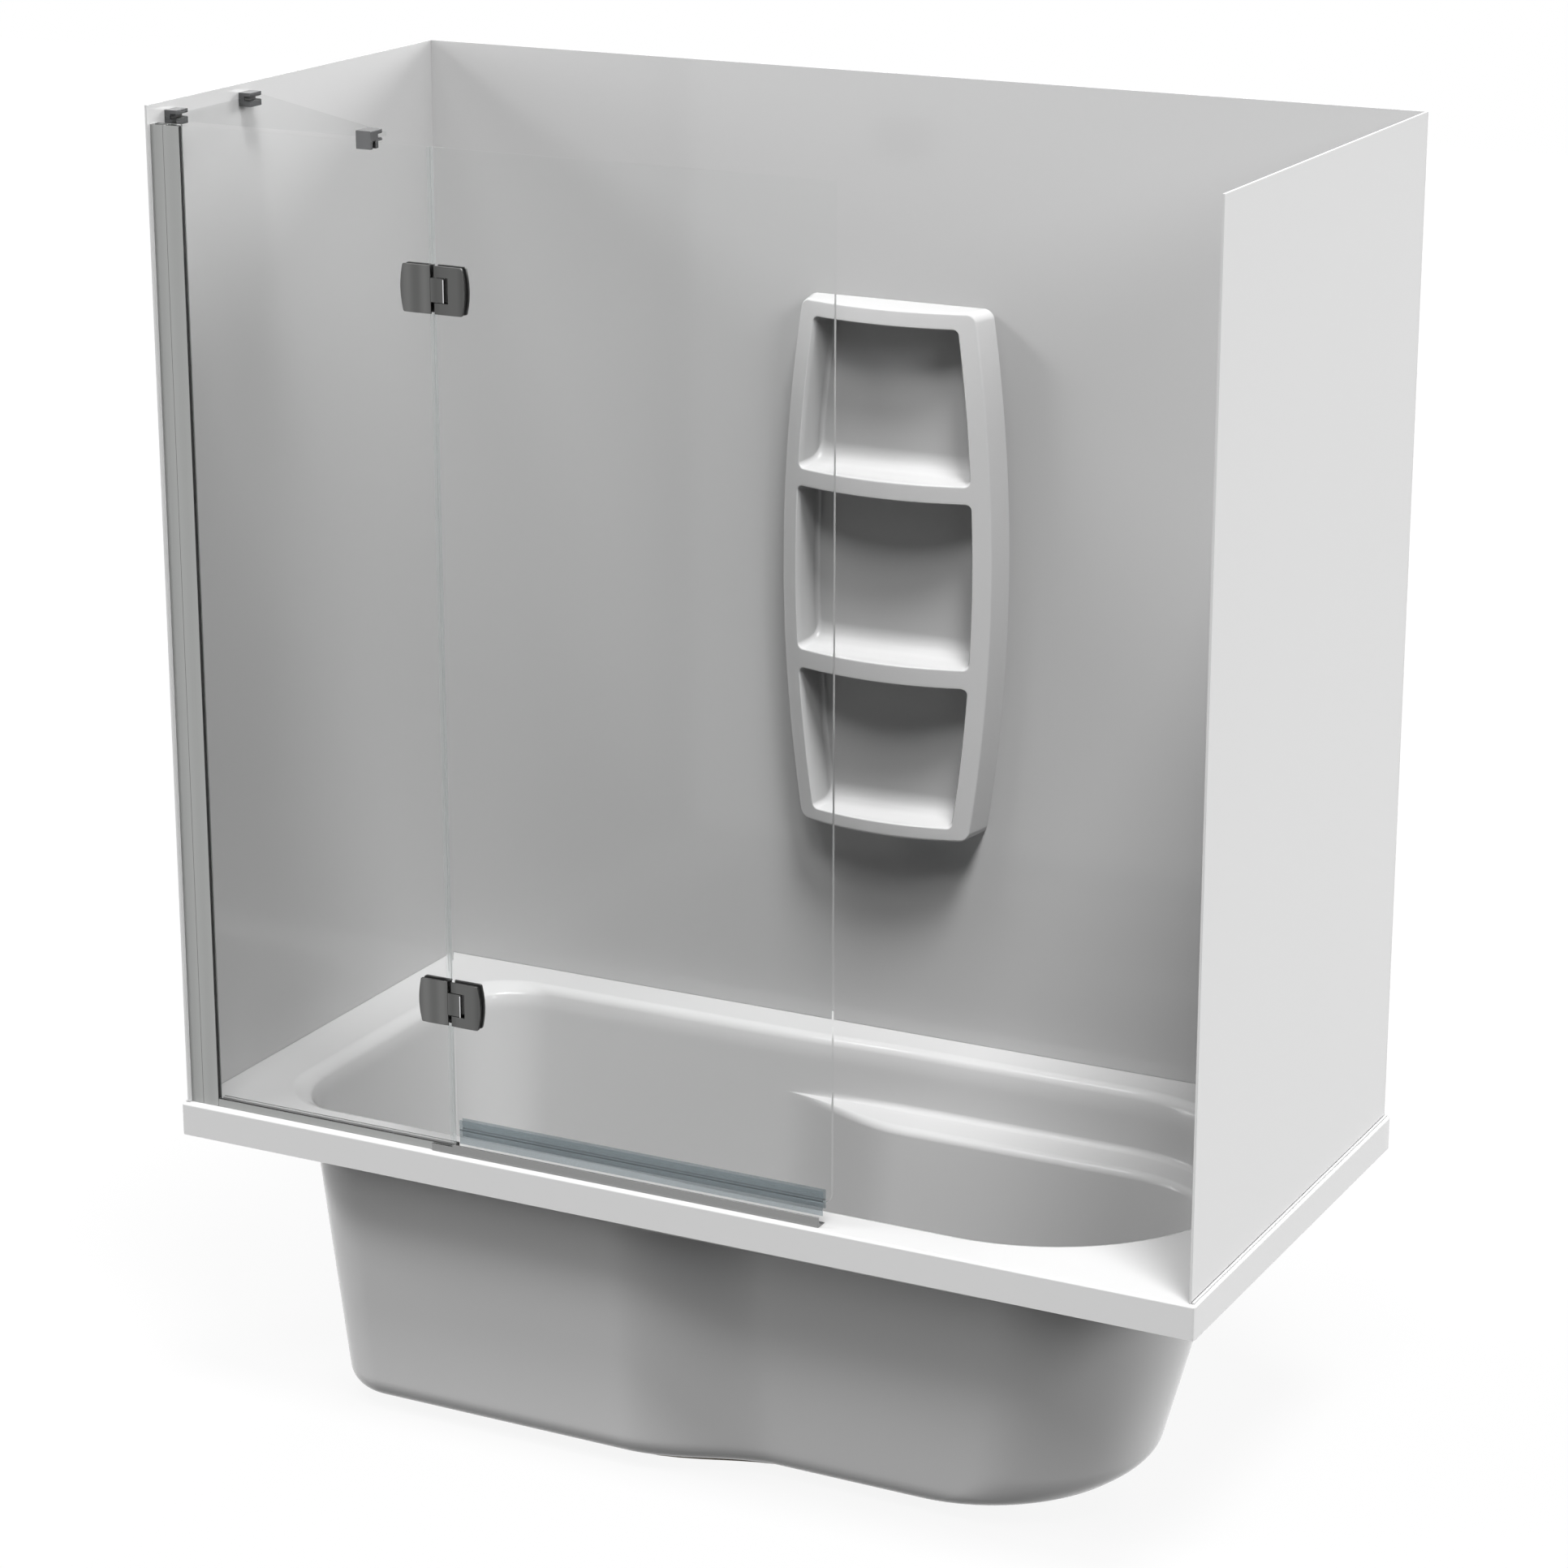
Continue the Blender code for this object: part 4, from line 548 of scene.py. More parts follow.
# %% Pocket rows
MOUTH_ROWS, POCKET_ROWS, BACK_ROWS = 6, 10, 8


def pocket_rings(low, high):
    mouth = pocket_outline(low, high, 0.0)
    rings = []
    for t in shares(MOUTH_ROWS):
        a = QUARTER * t
        edge = grown(mouth, MOUTH_R * (1 - math.sin(a)))
        rings.append([(x, front_of(x, z) - MOUTH_R * (1 - math.cos(a)), z) for x, z in edge])
    starts = [out for _, out, _ in rings[-1]]
    end = BACK_AT + BACK_R
    for t in shares(POCKET_ROWS)[1:]:
        ring = []
        for i, start in enumerate(starts):
            out = start + (end - start) * t
            x, z = stored_outline(low, high, out)[i]
            ring.append((x, out, z))
        rings.append(ring)
    for t in shares(BACK_ROWS)[1:]:
        a = QUARTER * t
        share = WALL_SHARE + BACK_SHARE * (1 - math.cos(a))
        out = BACK_AT + BACK_R * (1 - math.sin(a))
        rings.append([(x, out, z) for x, z in pocket_outline(low, high, share, out)])
    return rings


print("pocket rows:", len(pocket_rings(*POCKETS[0])))

# %% [markdown]
# A flat front is filled by a triangulation, which takes the outer outline, any
# holes in it, such as the three mouths, and a grid of points between them.
# Triangles that fall inside a hole are dropped.

# %% Sheet with holes
GRID_CLEAR, FILL_SLACK = 0.55, 1e-7


def inside(x, z, outline):
    odd = False
    for i, (x1, z1) in enumerate(outline):
        x0, z0 = outline[i - 1]
        if (z0 > z) != (z1 > z) and x < (x1 - x0) * (z - z0) / (z1 - z0) + x0:
            odd = not odd
    return odd


def clear_of(x, z, outline, distance):
    return all(math.dist((x, z), p) > distance for p in outline)


def sheet_with_holes(outer, holes, step):
    """Triangles that fill outer between holes, with an even grid of inner points."""
    points, edges = [], []
    for outline in [outer] + holes:
        first, count = len(points), len(outline)
        points += [Vector(p) for p in outline]
        edges += [(first + i, first + (i + 1) % count) for i in range(count)]
    x0, z0 = min(p.x for p in points), min(p.y for p in points)
    wide, tall = max(p.x for p in points) - x0, max(p.y for p in points) - z0
    across, up = int(wide / step), int(tall / step)
    for i in range(1, across):
        for j in range(1, up):
            x, z = x0 + wide * i / across, z0 + tall * j / up
            if not inside(x, z, outer) or any(inside(x, z, h) for h in holes):
                continue
            if all(clear_of(x, z, o, step * GRID_CLEAR) for o in [outer] + holes):
                points.append(Vector((x, z)))
    verts, _, faces, _, _, _ = delaunay_2d_cdt(points, edges, [], 1, FILL_SLACK)
    kept = []
    for face in faces:
        x = sum(verts[i].x for i in face) / len(face)
        z = sum(verts[i].y for i in face) / len(face)
        if inside(x, z, outer) and not any(inside(x, z, h) for h in holes):
            kept.append(face)
    return verts, kept


print("a grid point keeps", GRID_CLEAR, "of a step from every outline")

# %% [markdown]
# The shelf is that sheet pushed out by the bow, with rings that carry its edge
# back to the wall and rings that line each pocket. Where they meet, points that
# fall on each other are merged, so the moulding is one closed skin.

# %% Shelf
GRID_STEP, SHELF_ROWS, MERGE = 0.006, 4, 2e-6


def shelf():
    bm = bmesh.new()
    mouths = [pocket_rings(low, high) for low, high in POCKETS]
    outer = barrel(SHELF_EDGE, SHELF_DRAFT)
    holes = [[(x, z) for x, _, z in rings[0]] for rings in mouths]
    verts, faces = sheet_with_holes(outer, holes, GRID_STEP)
    made = [bm.verts.new(shelf_point(v.x, front_of(v.x, v.y), v.y)) for v in verts]
    for face in faces:
        bm.faces.new([made[i] for i in face])
    front = [front_of(*p) for p in outer]
    rings = []
    for t in shares(EDGE_ROWS):
        a = QUARTER * t
        edge = barrel(SHELF_EDGE * (1 - math.sin(a)), SHELF_DRAFT)
        sink = SHELF_EDGE * (1 - math.cos(a))
        rings.append([shelf_point(x, out - sink, z) for (x, z), out in zip(edge, front)])
    for t in shares(SHELF_ROWS)[1:]:
        edge = barrel(0, SHELF_DRAFT * (1 - t))
        rings.append([
            shelf_point(x, (out - SHELF_EDGE) * (1 - t), z) for (x, z), out in zip(edge, front)
        ])
    _, rows = skin(rings, bm)
    bm.faces.new(rows[-1])
    for pocket in mouths:
        _, rows = skin([[shelf_point(*p) for p in ring] for ring in pocket], bm)
        bm.faces.new(rows[-1])
    bmesh.ops.remove_doubles(bm, verts=bm.verts, dist=MERGE)
    return make_piece("shelf", bm, "bath", ["shelf_unit"], crease=40)


shelf_piece = shelf()

# %% [markdown]
# A hinge leaf is a cast plate with a soft crown: its face falls away towards
# both sides, and that is part of why a brushed leaf shades from light to dark
# across its width; the rest is painted sheen in its finish. The crown could be a
# subdivision surface, but the notch and the straight gap edge must stay crisp, so
# the leaf starts as an outline in front view: one straight edge at the gap, with a
# notch in the door's leaf, two rounded corners and a bulged outer side.

# %% Hinge outline
LEAF_WIDE, LEAF_TALL, LEAF_BULGE = 0.0440, 0.0330, 0.0037
LEAF_CORNER, LEAF_EDGE, CROWN = 0.0030, 0.0009, 0.0011
GAP_FIXED, GAP_DOOR, NOTCH_RIGHT, NOTCH_TALL = 0.4545, 0.4600, 0.4820, 0.0174
LEAF_CORNER_ROWS, LEAF_SIDE_ROWS, LEAF_STEP = 4, 12, 0.0035


def split(points, step):
    """Closed outline with points added so that no side is longer than step."""
    out = []
    for i, (x, z) in enumerate(points):
        x1, z1 = points[(i + 1) % len(points)]
        count = max(1, math.ceil(math.dist((x, z), (x1, z1)) / step))
        out += [(x + (x1 - x) * k / count, z + (z1 - z) * k / count) for k in range(count)]
    return out


def leaf_outline(edge, side, notch=False):
    """Front view of a leaf about its own middle height; side is -1 for the fixed one."""
    outer, radius = edge + side * LEAF_WIDE, LEAF_CORNER
    points = [(edge, LEAF_TALL)]
    for z_corner, start in ((LEAF_TALL - radius, 90), (radius - LEAF_TALL, 0)):
        for t in shares(LEAF_CORNER_ROWS):
            a = math.radians(start - 90 * t)
            x = outer + side * radius * (math.cos(a) - 1)
            points.append((x, z_corner + radius * math.sin(a)))
        if start:
            for t in shares(LEAF_SIDE_ROWS)[1:-1]:
                z = z_corner * (1 - 2 * t)
                points.append((outer + side * LEAF_BULGE * (1 - (z / z_corner) ** 2), z))
    points.append((edge, -LEAF_TALL))
    if notch:
        right, tall = NOTCH_RIGHT, NOTCH_TALL
        points += [(edge, -tall), (right, -tall), (right, tall), (edge, tall)]
    points = split(points, LEAF_STEP)
    return points if side < 0 else points[::-1]


def crown(x, edge, side):
    """How far the face falls back at x: flat in the middle, most at both sides."""
    share = (x - edge) * side / (LEAF_WIDE + LEAF_BULGE / 2) * 2 - 1
    return CROWN * min(abs(share), 1.0) ** 3


print("leaf outline:", len(leaf_outline(GAP_DOOR, 1, True)), "points")

# %% [markdown]
# Behind each plate is what turns: the fixed leaf carries a knuckle that fills
# the door leaf's notch, and the door leaf has a lug above and below it for the
# pin. Both are blocks with a small bevel, the edge of a casting.

# %% Blocks behind the leaves
BLOCK_EDGE = 0.0004
BLOCK_FACES = (
    (0, 1, 2, 3), (4, 5, 6, 7), (0, 1, 5, 4), (1, 2, 6, 5), (2, 3, 7, 6), (3, 0, 4, 7),
)


def block(bm, x, y, z):
    """Adds a block with rounded edges between two places on each axis."""
    plan_corners = ((0, 0), (1, 0), (1, 1), (0, 1))
    v = [bm.verts.new((x[i], y[j], z[k])) for k in (0, 1) for i, j in plan_corners]
    faces = [bm.faces.new([v[i] for i in f]) for f in BLOCK_FACES]
    edges = list({e for f in faces for e in f.edges})
    bmesh.ops.bevel(bm, geom=edges, offset=BLOCK_EDGE, segments=2, affect="EDGES")


print("a block has", len(BLOCK_FACES), "faces before its bevel")

# %% [markdown]
# The plate is the outline filled like the shelf's front, with an edge that
# rolls over by just under a millimetre and a flat back.

# %% Hinge leaves
LEAF_GRID, LEAF_EDGE_ROWS, LEAF_CREASE = 0.0028, 3, 30
KNUCKLE_RIGHT, KNUCKLE_TALL, KNUCKLE_SINK = 0.4760, 0.0166, 0.55
LUG_RIGHT, LUG_LOW, LUG_HIGH, LUG_BACK = 0.470, 0.018, 0.029, 0.0043
SCREEN_Y, HAIR = 0.0210, 0.0001


def leaf(name, node, edge, side, body, notch=False):
    low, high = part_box(node)
    middle = (low.z + high.z) / 2
    face, back = low.y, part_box(node.replace("front", "pad_front"))[0].y - JOINT
    outline = leaf_outline(edge, side, notch)

    def out_at(x):
        return face + crown(x, edge, side)

    bm = bmesh.new()
    inner = grown(outline, -LEAF_EDGE)
    verts, faces = sheet_with_holes(inner, [], LEAF_GRID)
    made = [bm.verts.new((along(v.x), out_at(v.x), middle + v.y)) for v in verts]
    for f in faces:
        bm.faces.new([made[i] for i in f])
    rings = []
    for t in shares(LEAF_EDGE_ROWS):
        a = QUARTER * t
        ring = grown(outline, -LEAF_EDGE * (1 - math.sin(a)))
        sink = LEAF_EDGE * (1 - math.cos(a))
        rings.append([
            (along(x), out_at(p[0]) + sink, middle + z) for (x, z), p in zip(ring, inner)
        ])
    rings.append([(along(x), back, middle + z) for x, z in outline])
    _, rows = skin(rings, bm)
    bm.faces.new(rows[-1])
    bmesh.ops.remove_doubles(bm, verts=bm.verts, dist=MERGE)
    screen = deep(SCREEN_Y)
    if notch:
        across = (along(GAP_DOOR + JOINT), along(LUG_RIGHT))
        for sign in (-1, 1):
            ends = sorted((middle + sign * LUG_LOW, middle + sign * LUG_HIGH))
            block(bm, across, (back + HAIR, screen + LUG_BACK), ends)
    else:
        across = (along(GAP_FIXED + HAIR), along(KNUCKLE_RIGHT))
        ends = (middle - KNUCKLE_TALL, middle + KNUCKLE_TALL)
        block(bm, across, (face + CROWN * KNUCKLE_SINK, 2 * screen - face), ends)
    return make_piece(name, bm, body, [node], crease=LEAF_CREASE)


leaves = []
for word in ("upper", "lower"):
    hinge = word + "_hinge_"
    leaves.append(leaf(word + "_fixed_leaf", hinge + "fixed_front", GAP_FIXED, -1, "bath"))
    leaves.append(leaf(word + "_door_leaf", hinge + "door_front", GAP_DOOR, 1, "door", True))
print("leaves:", [piece.name for piece in leaves])

# %% [markdown]
# Beside the tongue of each hinge a polished strip shows in the notch as a thin
# bright line: the side of the sleeve that the pin turns in. It is a slim round
# bar with domed ends, near enough to the pin that the door's leaf swings clear.

# %% Knuckle strips
STRIP_AT, STRIP_DEEP, STRIP_R, STRIP_TALL = 0.4771, 0.0100, 0.0007, 0.0160
STRIP_POINTS, DOME_TURNS = 12, (0.0, 0.5, 1.0, 1.4)


def knuckle_strip(word):
    low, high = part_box(word + "_hinge_fixed_front")
    middle = (low.z + high.z) / 2
    turns = [2 * math.pi * k / STRIP_POINTS for k in range(STRIP_POINTS)]
    dome = [(STRIP_R * math.cos(a), STRIP_TALL - STRIP_R * (1 - math.sin(a))) for a in DOME_TURNS]
    places = [(radius, middle - rise) for radius, rise in dome[::-1]]
    places += [(radius, middle + rise) for radius, rise in dome]
    bm, rows = skin([
        [(along(STRIP_AT) + r * math.cos(t), deep(STRIP_DEEP) + r * math.sin(t), z) for t in turns]
        for r, z in places
    ])
    bm.faces.new(rows[0])
    bm.faces.new(rows[-1])
    return make_piece(word + "_knuckle_strip", bm, "bath", [], crease=50)


strips = [knuckle_strip(word) for word in ("upper", "lower")]

# %% [markdown]
# The panes are held in rubber strips. Only a thin black line of them shows beside
# the profile, because a real gasket ends in a small round lip that sits almost
# flush, and the channel's back leg is shorter than its front one, so nothing dark
# is seen through the glass. Each is a drawn section run along the profile; the
# numbers with the gaskets say how much shorter than the solid each one shows.

# %% Glazing profile and gaskets
LIP, GASKET_ROWS, PROFILE_EDGE = 0.0006, 6, 0.0003
BACK_LEG_RIGHT, CHANNEL_LEFT, CHANNEL_WALL, TONGUE_THICK = 0.0520, 0.0315, 0.0016, 0.0070
GASKETS = (
    ("jamb_gasket_front", True, 0.0028), ("rail_gasket_front", False, 0.0011),
    ("jamb_gasket_back", True, 0.0100), ("rail_gasket_back", False, 0.0011),
)


def run_section(name, section, ends, upright, replaced, crease=40):
    """Solid of one closed section of (along it, y) points, run between two ends."""
    rings = [[(u, v, w) if upright else (w, v, u) for u, v in section] for w in ends]
    bm, rows = skin(rings)
    bm.faces.new(rows[0])
    bm.faces.new(rows[-1])
    return make_piece(name, bm, "bath", replaced, crease)


def gasket(name, upright, cut):
    low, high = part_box(name)
    start, end = (low.x, high.x - cut) if upright else (low.z, high.z - cut)
    middle, half = (low.y + high.y) / 2, (high.y - low.y) / 2
    turns = [math.pi * (t - 0.5) for t in shares(GASKET_ROWS)]
    section = [(start, middle - half)]
    section += [(end - LIP + LIP * math.cos(t), middle + half * math.sin(t)) for t in turns]
    section.append((start, middle + half))
    ends = (low.z, high.z) if upright else (low.x, high.x)
    return run_section(name + "_lip", section, ends, upright, [name])


def glazing_profile():
    low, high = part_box("glazing_channel")
    x0, wall, back_end = along(CHANNEL_LEFT), CHANNEL_WALL, along(BACK_LEG_RIGHT)
    middle, half = (low.y + high.y) / 2, TONGUE_THICK / 2
    section = [
        (x0, low.y), (high.x, low.y), (high.x, low.y + wall), (x0 + wall, low.y + wall),
        (x0 + wall, high.y - wall), (back_end, high.y - wall), (back_end, high.y), (x0, high.y),
        (x0, middle + half), (low.x, middle + half),
        (low.x, middle - half), (x0, middle - half),
    ]
    piece = run_section("glazing_profile", section, (low.z, high.z), True,
                        ["glazing_channel"])
    soft = piece.modifiers.new("soft_edges", "BEVEL")
    soft.width, soft.segments = PROFILE_EDGE, 2
    return piece


gaskets = [gasket(*row) for row in GASKETS]
profile = glazing_profile()

# %% [markdown]
# Every other solid keeps its own mesh. Real extrusions, sheets and plates never
# end in a perfect corner, and a sharp edge catches no light, so each one gets
# the same small stack of modifiers: weld the loose triangles, round the edges a
# little, and even out the shading. A modifier leaves the solid itself alone. The
# panes keep the true normal of each flat side instead: a long thin edge of glass
# with a blended normal bends the view so far that it turns black.

# %% Softened edges on the solids
LEAST_EDGE, WELD, ROUND_OVER = 0.00015, 0.00001, 32
EDGE_WIDTHS = (
    (("pad", "liner"), LEAST_EDGE), (("panel", "bead"), 0.0005), (("glass",), 0.0006),
    (("channel", "rail", "sill"), 0.00035), (("bracket", "hinge"), 0.0004),
    (("seal",), 0.0003), (("waste", "pin", "screw"), 0.0003), (("board",), 0.0015),
)
replaced = {"tub_shell", "shelf_unit", "glazing_channel"}
replaced |= {name for name, _, _ in GASKETS}
for word in ("upper", "lower"):
    replaced |= {word + "_hinge_fixed_front", word + "_hinge_door_front"}


def edge_width(name):
    for words, width in EDGE_WIDTHS:
        if any(word in name for word in words):
            return width
    return LEAST_EDGE


for name, node in nodes.items():
    if name in replaced:
        continue
    weld = node.modifiers.new("weld", "WELD")
    weld.merge_threshold = WELD
    soft = node.modifiers.new("soft_edges", "BEVEL")
    soft.width = edge_width(name)
    soft.segments = 2
    soft.limit_method = "ANGLE"
    soft.angle_limit = math.radians(ROUND_OVER)
    soft.use_clamp_overlap = True
    if "glass" in name and "bracket" not in name:
        soft.harden_normals = True
        continue
    even = node.modifiers.new("even_shading", "WEIGHTED_NORMAL")
    even.keep_sharp = False
print("softened", len(nodes) - len(replaced), "solids")

# %% [markdown]
# Finishes are made of nodes. A node group has named inputs and outputs, like a
# small function, so an effect is built once and each material gives it its own
# values. These helpers make an empty group, add a node with its sockets filled,
# and spread a value either side of its centre by a mask.

# %% Node helpers
FLOAT, COLOUR, VECTOR = "NodeSocketFloat", "NodeSocketColor", "NodeSocketVector"


def new_group(name, inputs):
    """Empty shader node group; returns the tree, its input node and its output node."""
    tree = bpy.data.node_groups.new(name, "ShaderNodeTree")
    for socket_name, kind, value in inputs:
        socket = tree.interface.new_socket(socket_name, in_out="INPUT", socket_type=kind)
        socket.default_value = value
    for socket_name, kind in (("Colour", COLOUR), ("Roughness", FLOAT), ("Height", FLOAT)):
        tree.interface.new_socket(socket_name, in_out="OUTPUT", socket_type=kind)
    return tree, tree.nodes.new("NodeGroupInput"), tree.nodes.new("NodeGroupOutput")


def add(tree, kind, operation=None, **links):
    """New node; links give its sockets, by name or as i0, i1, a value or another socket."""
    node = tree.nodes.new(kind)
    if operation:
        node.operation = operation
    for key, value in links.items():
        index = int(key[1:]) if key[1:].isdigit() else key.replace("_", " ")
        socket = node.inputs[index]
        if isinstance(value, bpy.types.NodeSocket):
            tree.links.new(value, socket)
        else:
            socket.default_value = value
    return node


def math_of(tree, operation, first, second):
    return add(tree, "ShaderNodeMath", operation, i0=first, i1=second).outputs[0]


def noise(tree, place, **settings):
    return add(tree, "ShaderNodeTexNoise", Vector=place, **settings).outputs["Fac"]


def spread(tree, mask, centre, width):
    """centre plus or minus width as mask runs from 0 to 1."""
    low = math_of(tree, "SUBTRACT", centre, width)
    high = math_of(tree, "ADD", centre, width)
    return add(tree, "ShaderNodeMapRange", Value=mask, To_Min=low, To_Max=high).outputs[0]


def shaded(tree, colour, mask, width):
    """colour made lighter and darker by width as mask runs from 0 to 1."""
    level = spread(tree, mask, 1.0, width)
    return add(tree, "ShaderNodeVectorMath", "SCALE", i0=colour, Scale=level).outputs[0]


def put_out(tree, out, colour, rough, height):
    for key, value in (("Colour", colour), ("Roughness", rough), ("Height", height)):
        tree.links.new(value, out.inputs[key])
    return tree


print("node helpers ready")

# %% [markdown]
# Acrylic sheet looks plain, but it isn't a single colour: the formed skin has a
# faint orange peel, its gloss changes a little from place to place, and the
# white drifts by a percent or so. Painting that by hand would tie it to one
# piece. Three noises of different size do it on every acrylic, rubber and clear
# piece, each with its own values.

# %% Moulded skin group
def moulded_skin():
    tree, given, out = new_group("moulded skin", [
        ("Colour", COLOUR, (0.8, 0.8, 0.8, 1)), ("Colour spread", FLOAT, 0.01),
        ("Roughness", FLOAT, 0.1), ("Roughness spread", FLOAT, 0.02),
        ("Peel size", FLOAT, 260.0),
    ])
    value = given.outputs
    place = add(tree, "ShaderNodeTexCoord").outputs["Object"]
    drift = noise(tree, place, Scale=2.2, Detail=2.0)
    wipe = noise(tree, place, Scale=14.0, Detail=4.0, Roughness=0.6)
    peel = noise(tree, place, Scale=value["Peel size"], Detail=1.0)
    colour = shaded(tree, value["Colour"], drift, value["Colour spread"])
    rough = spread(tree, wipe, value["Roughness"], value["Roughness spread"])
    return put_out(tree, out, colour, rough, peel)


skin_group = moulded_skin()
print(skin_group.name, [s.name for s in skin_group.interface.items_tree])

# %% [markdown]
# Aluminium profiles are drawn through a die and the hinge leaves are brushed, so
# both show fine lines in one direction. Noise stretched a thousand to one along
# that direction does this; the group takes the direction as a scale for each
# axis, because a jamb stands upright while a rail lies along the bath. A second,
# much wider noise paints soft dark and light bands across the metal: a painted
# sheen that stands in for the reflections on a brushed leaf.

# %% Drawn lines and painted sheen group
# size of the painted sheen: wide light and dark bands that stand in for reflections
PAINTED_SHEEN_SHARE = 0.035


def drawn_lines_and_sheen():
    tree, given, out = new_group("drawn lines and painted sheen", [
        ("Colour", COLOUR, (0.5, 0.5, 0.5, 1)), ("Colour spread", FLOAT, 0.05),
        ("Painted sheen", FLOAT, 0.05), ("Roughness", FLOAT, 0.3), ("Roughness spread", FLOAT, 0.05),
        ("Line scale", VECTOR, (900, 900, 2)),
    ])
    value = given.outputs
    place = add(tree, "ShaderNodeTexCoord").outputs["Object"]
    stretched = add(tree, "ShaderNodeVectorMath", "MULTIPLY",
                    i0=place, i1=value["Line scale"]).outputs[0]
    lines = noise(tree, stretched, Scale=1.0, Detail=3.0, Roughness=0.6)
    cloud = noise(tree, place, Scale=30.0, Detail=2.0)
    # painted sheen: a wide noise lightens and darkens the colour in bands, in place of reflections
    wide = add(tree, "ShaderNodeVectorMath", "SCALE", i0=stretched, Scale=PAINTED_SHEEN_SHARE).outputs[0]
    bands = noise(tree, wide, Scale=1.0, Detail=0.0)
    brushed = shaded(tree, value["Colour"], lines, value["Colour spread"])
    clear = add(tree, "ShaderNodeMapRange", Value=bands, From_Min=0.3, From_Max=0.7).outputs[0]
    colour = shaded(tree, brushed, clear, value["Painted sheen"])
    rough = spread(tree, cloud, value["Roughness"], value["Roughness spread"])
    return put_out(tree, out, colour, rough, lines)


lines_and_sheen_group = drawn_lines_and_sheen()
print(lines_and_sheen_group.name, "made")

# %% [markdown]
# The wipe seal on the door's foot is one smoky extrusion: a flange up each face of
# the glass, a web under it and a lip below. Where the glass ends its edge shows as
# a dark line, and below it you look through more vinyl, so the seal looks darker
# and grows lighter towards the lip. A colour ramp over the height of the piece
# paints this on the real profile as shade: a painted dark line where the glass
# ends and painted darker bands below it.

# %% Seal painted shade group
# painted shade down the seal, foot to top: the dip to 0.40 is a painted dark line where the glass
# ends, the lower tones painted shade of thicker vinyl
SEAL_SHADE_TONES = (
    (0.0, 0.92), (0.30, 0.88), (0.45, 0.95), (0.56, 0.95),
    (0.572, 0.40), (0.602, 0.40), (0.614, 0.97), (1.0, 1.0),
)
SEAL_SPREAD = 0.02


def seal_painted_shade():
    tree, given, out = new_group("seal painted shade", [
        ("Colour", COLOUR, (0.6, 0.65, 0.68, 1)), ("Foot", FLOAT, 0.0),
        ("Top", FLOAT, 1.0), ("Roughness", FLOAT, 0.1),
    ])
    value = given.outputs
    place = add(tree, "ShaderNodeTexCoord").outputs["Object"]
    level = add(tree, "ShaderNodeSeparateXYZ", Vector=place).outputs["Z"]
    share = add(tree, "ShaderNodeMapRange", Value=level,
                From_Min=value["Foot"], From_Max=value["Top"]).outputs[0]
    # the ramp paints the seal's shade bands over its height
    ramp = add(tree, "ShaderNodeValToRGB", Fac=share)
    stops = ramp.color_ramp.elements
    while len(stops) < len(SEAL_SHADE_TONES):
        stops.new(1.0)
    for stop, (at, tone) in zip(stops, SEAL_SHADE_TONES):
        stop.position = at
        stop.color = (tone, tone, tone, 1)
    toned = add(tree, "ShaderNodeVectorMath", "MULTIPLY",
                i0=value["Colour"], i1=ramp.outputs["Color"]).outputs[0]
    cloud = noise(tree, place, Scale=40.0, Detail=2.0)
    rough = spread(tree, cloud, value["Roughness"], SEAL_SPREAD)
    return put_out(tree, out, toned, rough, cloud)


seal_shade_group = seal_painted_shade()
print(seal_shade_group.name, "with", len(SEAL_SHADE_TONES), "tones")

# %% [markdown]
# A finish is then one Principled shader. The group feeds its colour, roughness
# and a bump; everything that is the same all over is a plain number on the
# shader's own socket. Two additions handle light. A clear piece lets lamp light
# and soft light pass straight, as a thin pane does, so it throws no dark shadow.
# A white acrylic meets light that has bounced before with a darker tone, so the
# corners between white walls keep their shade.

# %% Finish helpers
SKIN_KEYS = ("Colour", "Colour spread", "Roughness", "Roughness spread", "Peel size")
LINE_KEYS = ("Colour", "Colour spread", "Roughness", "Roughness spread", "Line scale", "Painted sheen")


def grey(level):
    return (level, level, level, 1)


def finish(name, group, values, bump, plain, shade=None, bounce=None):
    """Material from a group: its values, bump height in metres, the shader's own sockets."""
    mat = bpy.data.materials.new(name)
    mat.use_nodes = True
    tree = mat.node_tree
    shader = tree.nodes["Principled BSDF"]
    effect = tree.nodes.new("ShaderNodeGroup")
    effect.node_tree = group
    for key, value in values.items():
        effect.inputs[key].default_value = value
    tree.links.new(effect.outputs["Colour"], shader.inputs["Base Color"])
    tree.links.new(effect.outputs["Roughness"], shader.inputs["Roughness"])
    relief = add(tree, "ShaderNodeBump",
                 Height=effect.outputs["Height"], Distance=bump, Strength=1.0)
    tree.links.new(relief.outputs["Normal"], shader.inputs["Normal"])
    for key, value in plain.items():
        shader.inputs[key].default_value = value
    if shade is not None:
        see_through(tree, shader, shade)
    if bounce is not None:
        soft_bounce(tree, shader, bounce)
    return mat


def mixed(tree, when, surface, other):
    """surface, but other for the rays of one kind."""
    return add(tree, "ShaderNodeMixShader", i0=when, i1=surface, i2=other).outputs[0]


def soft_bounce(tree, shader, level):
    """A darker tone for soft light, so that corners keep their shade."""
    path = tree.nodes.new("ShaderNodeLightPath").outputs
    dim = add(tree, "ShaderNodeBsdfDiffuse", Color=grey(level)).outputs[0]
    surface = mixed(tree, path["Is Diffuse Ray"], shader.outputs[0], dim)
    tree.links.new(surface, tree.nodes["Material Output"].inputs["Surface"])


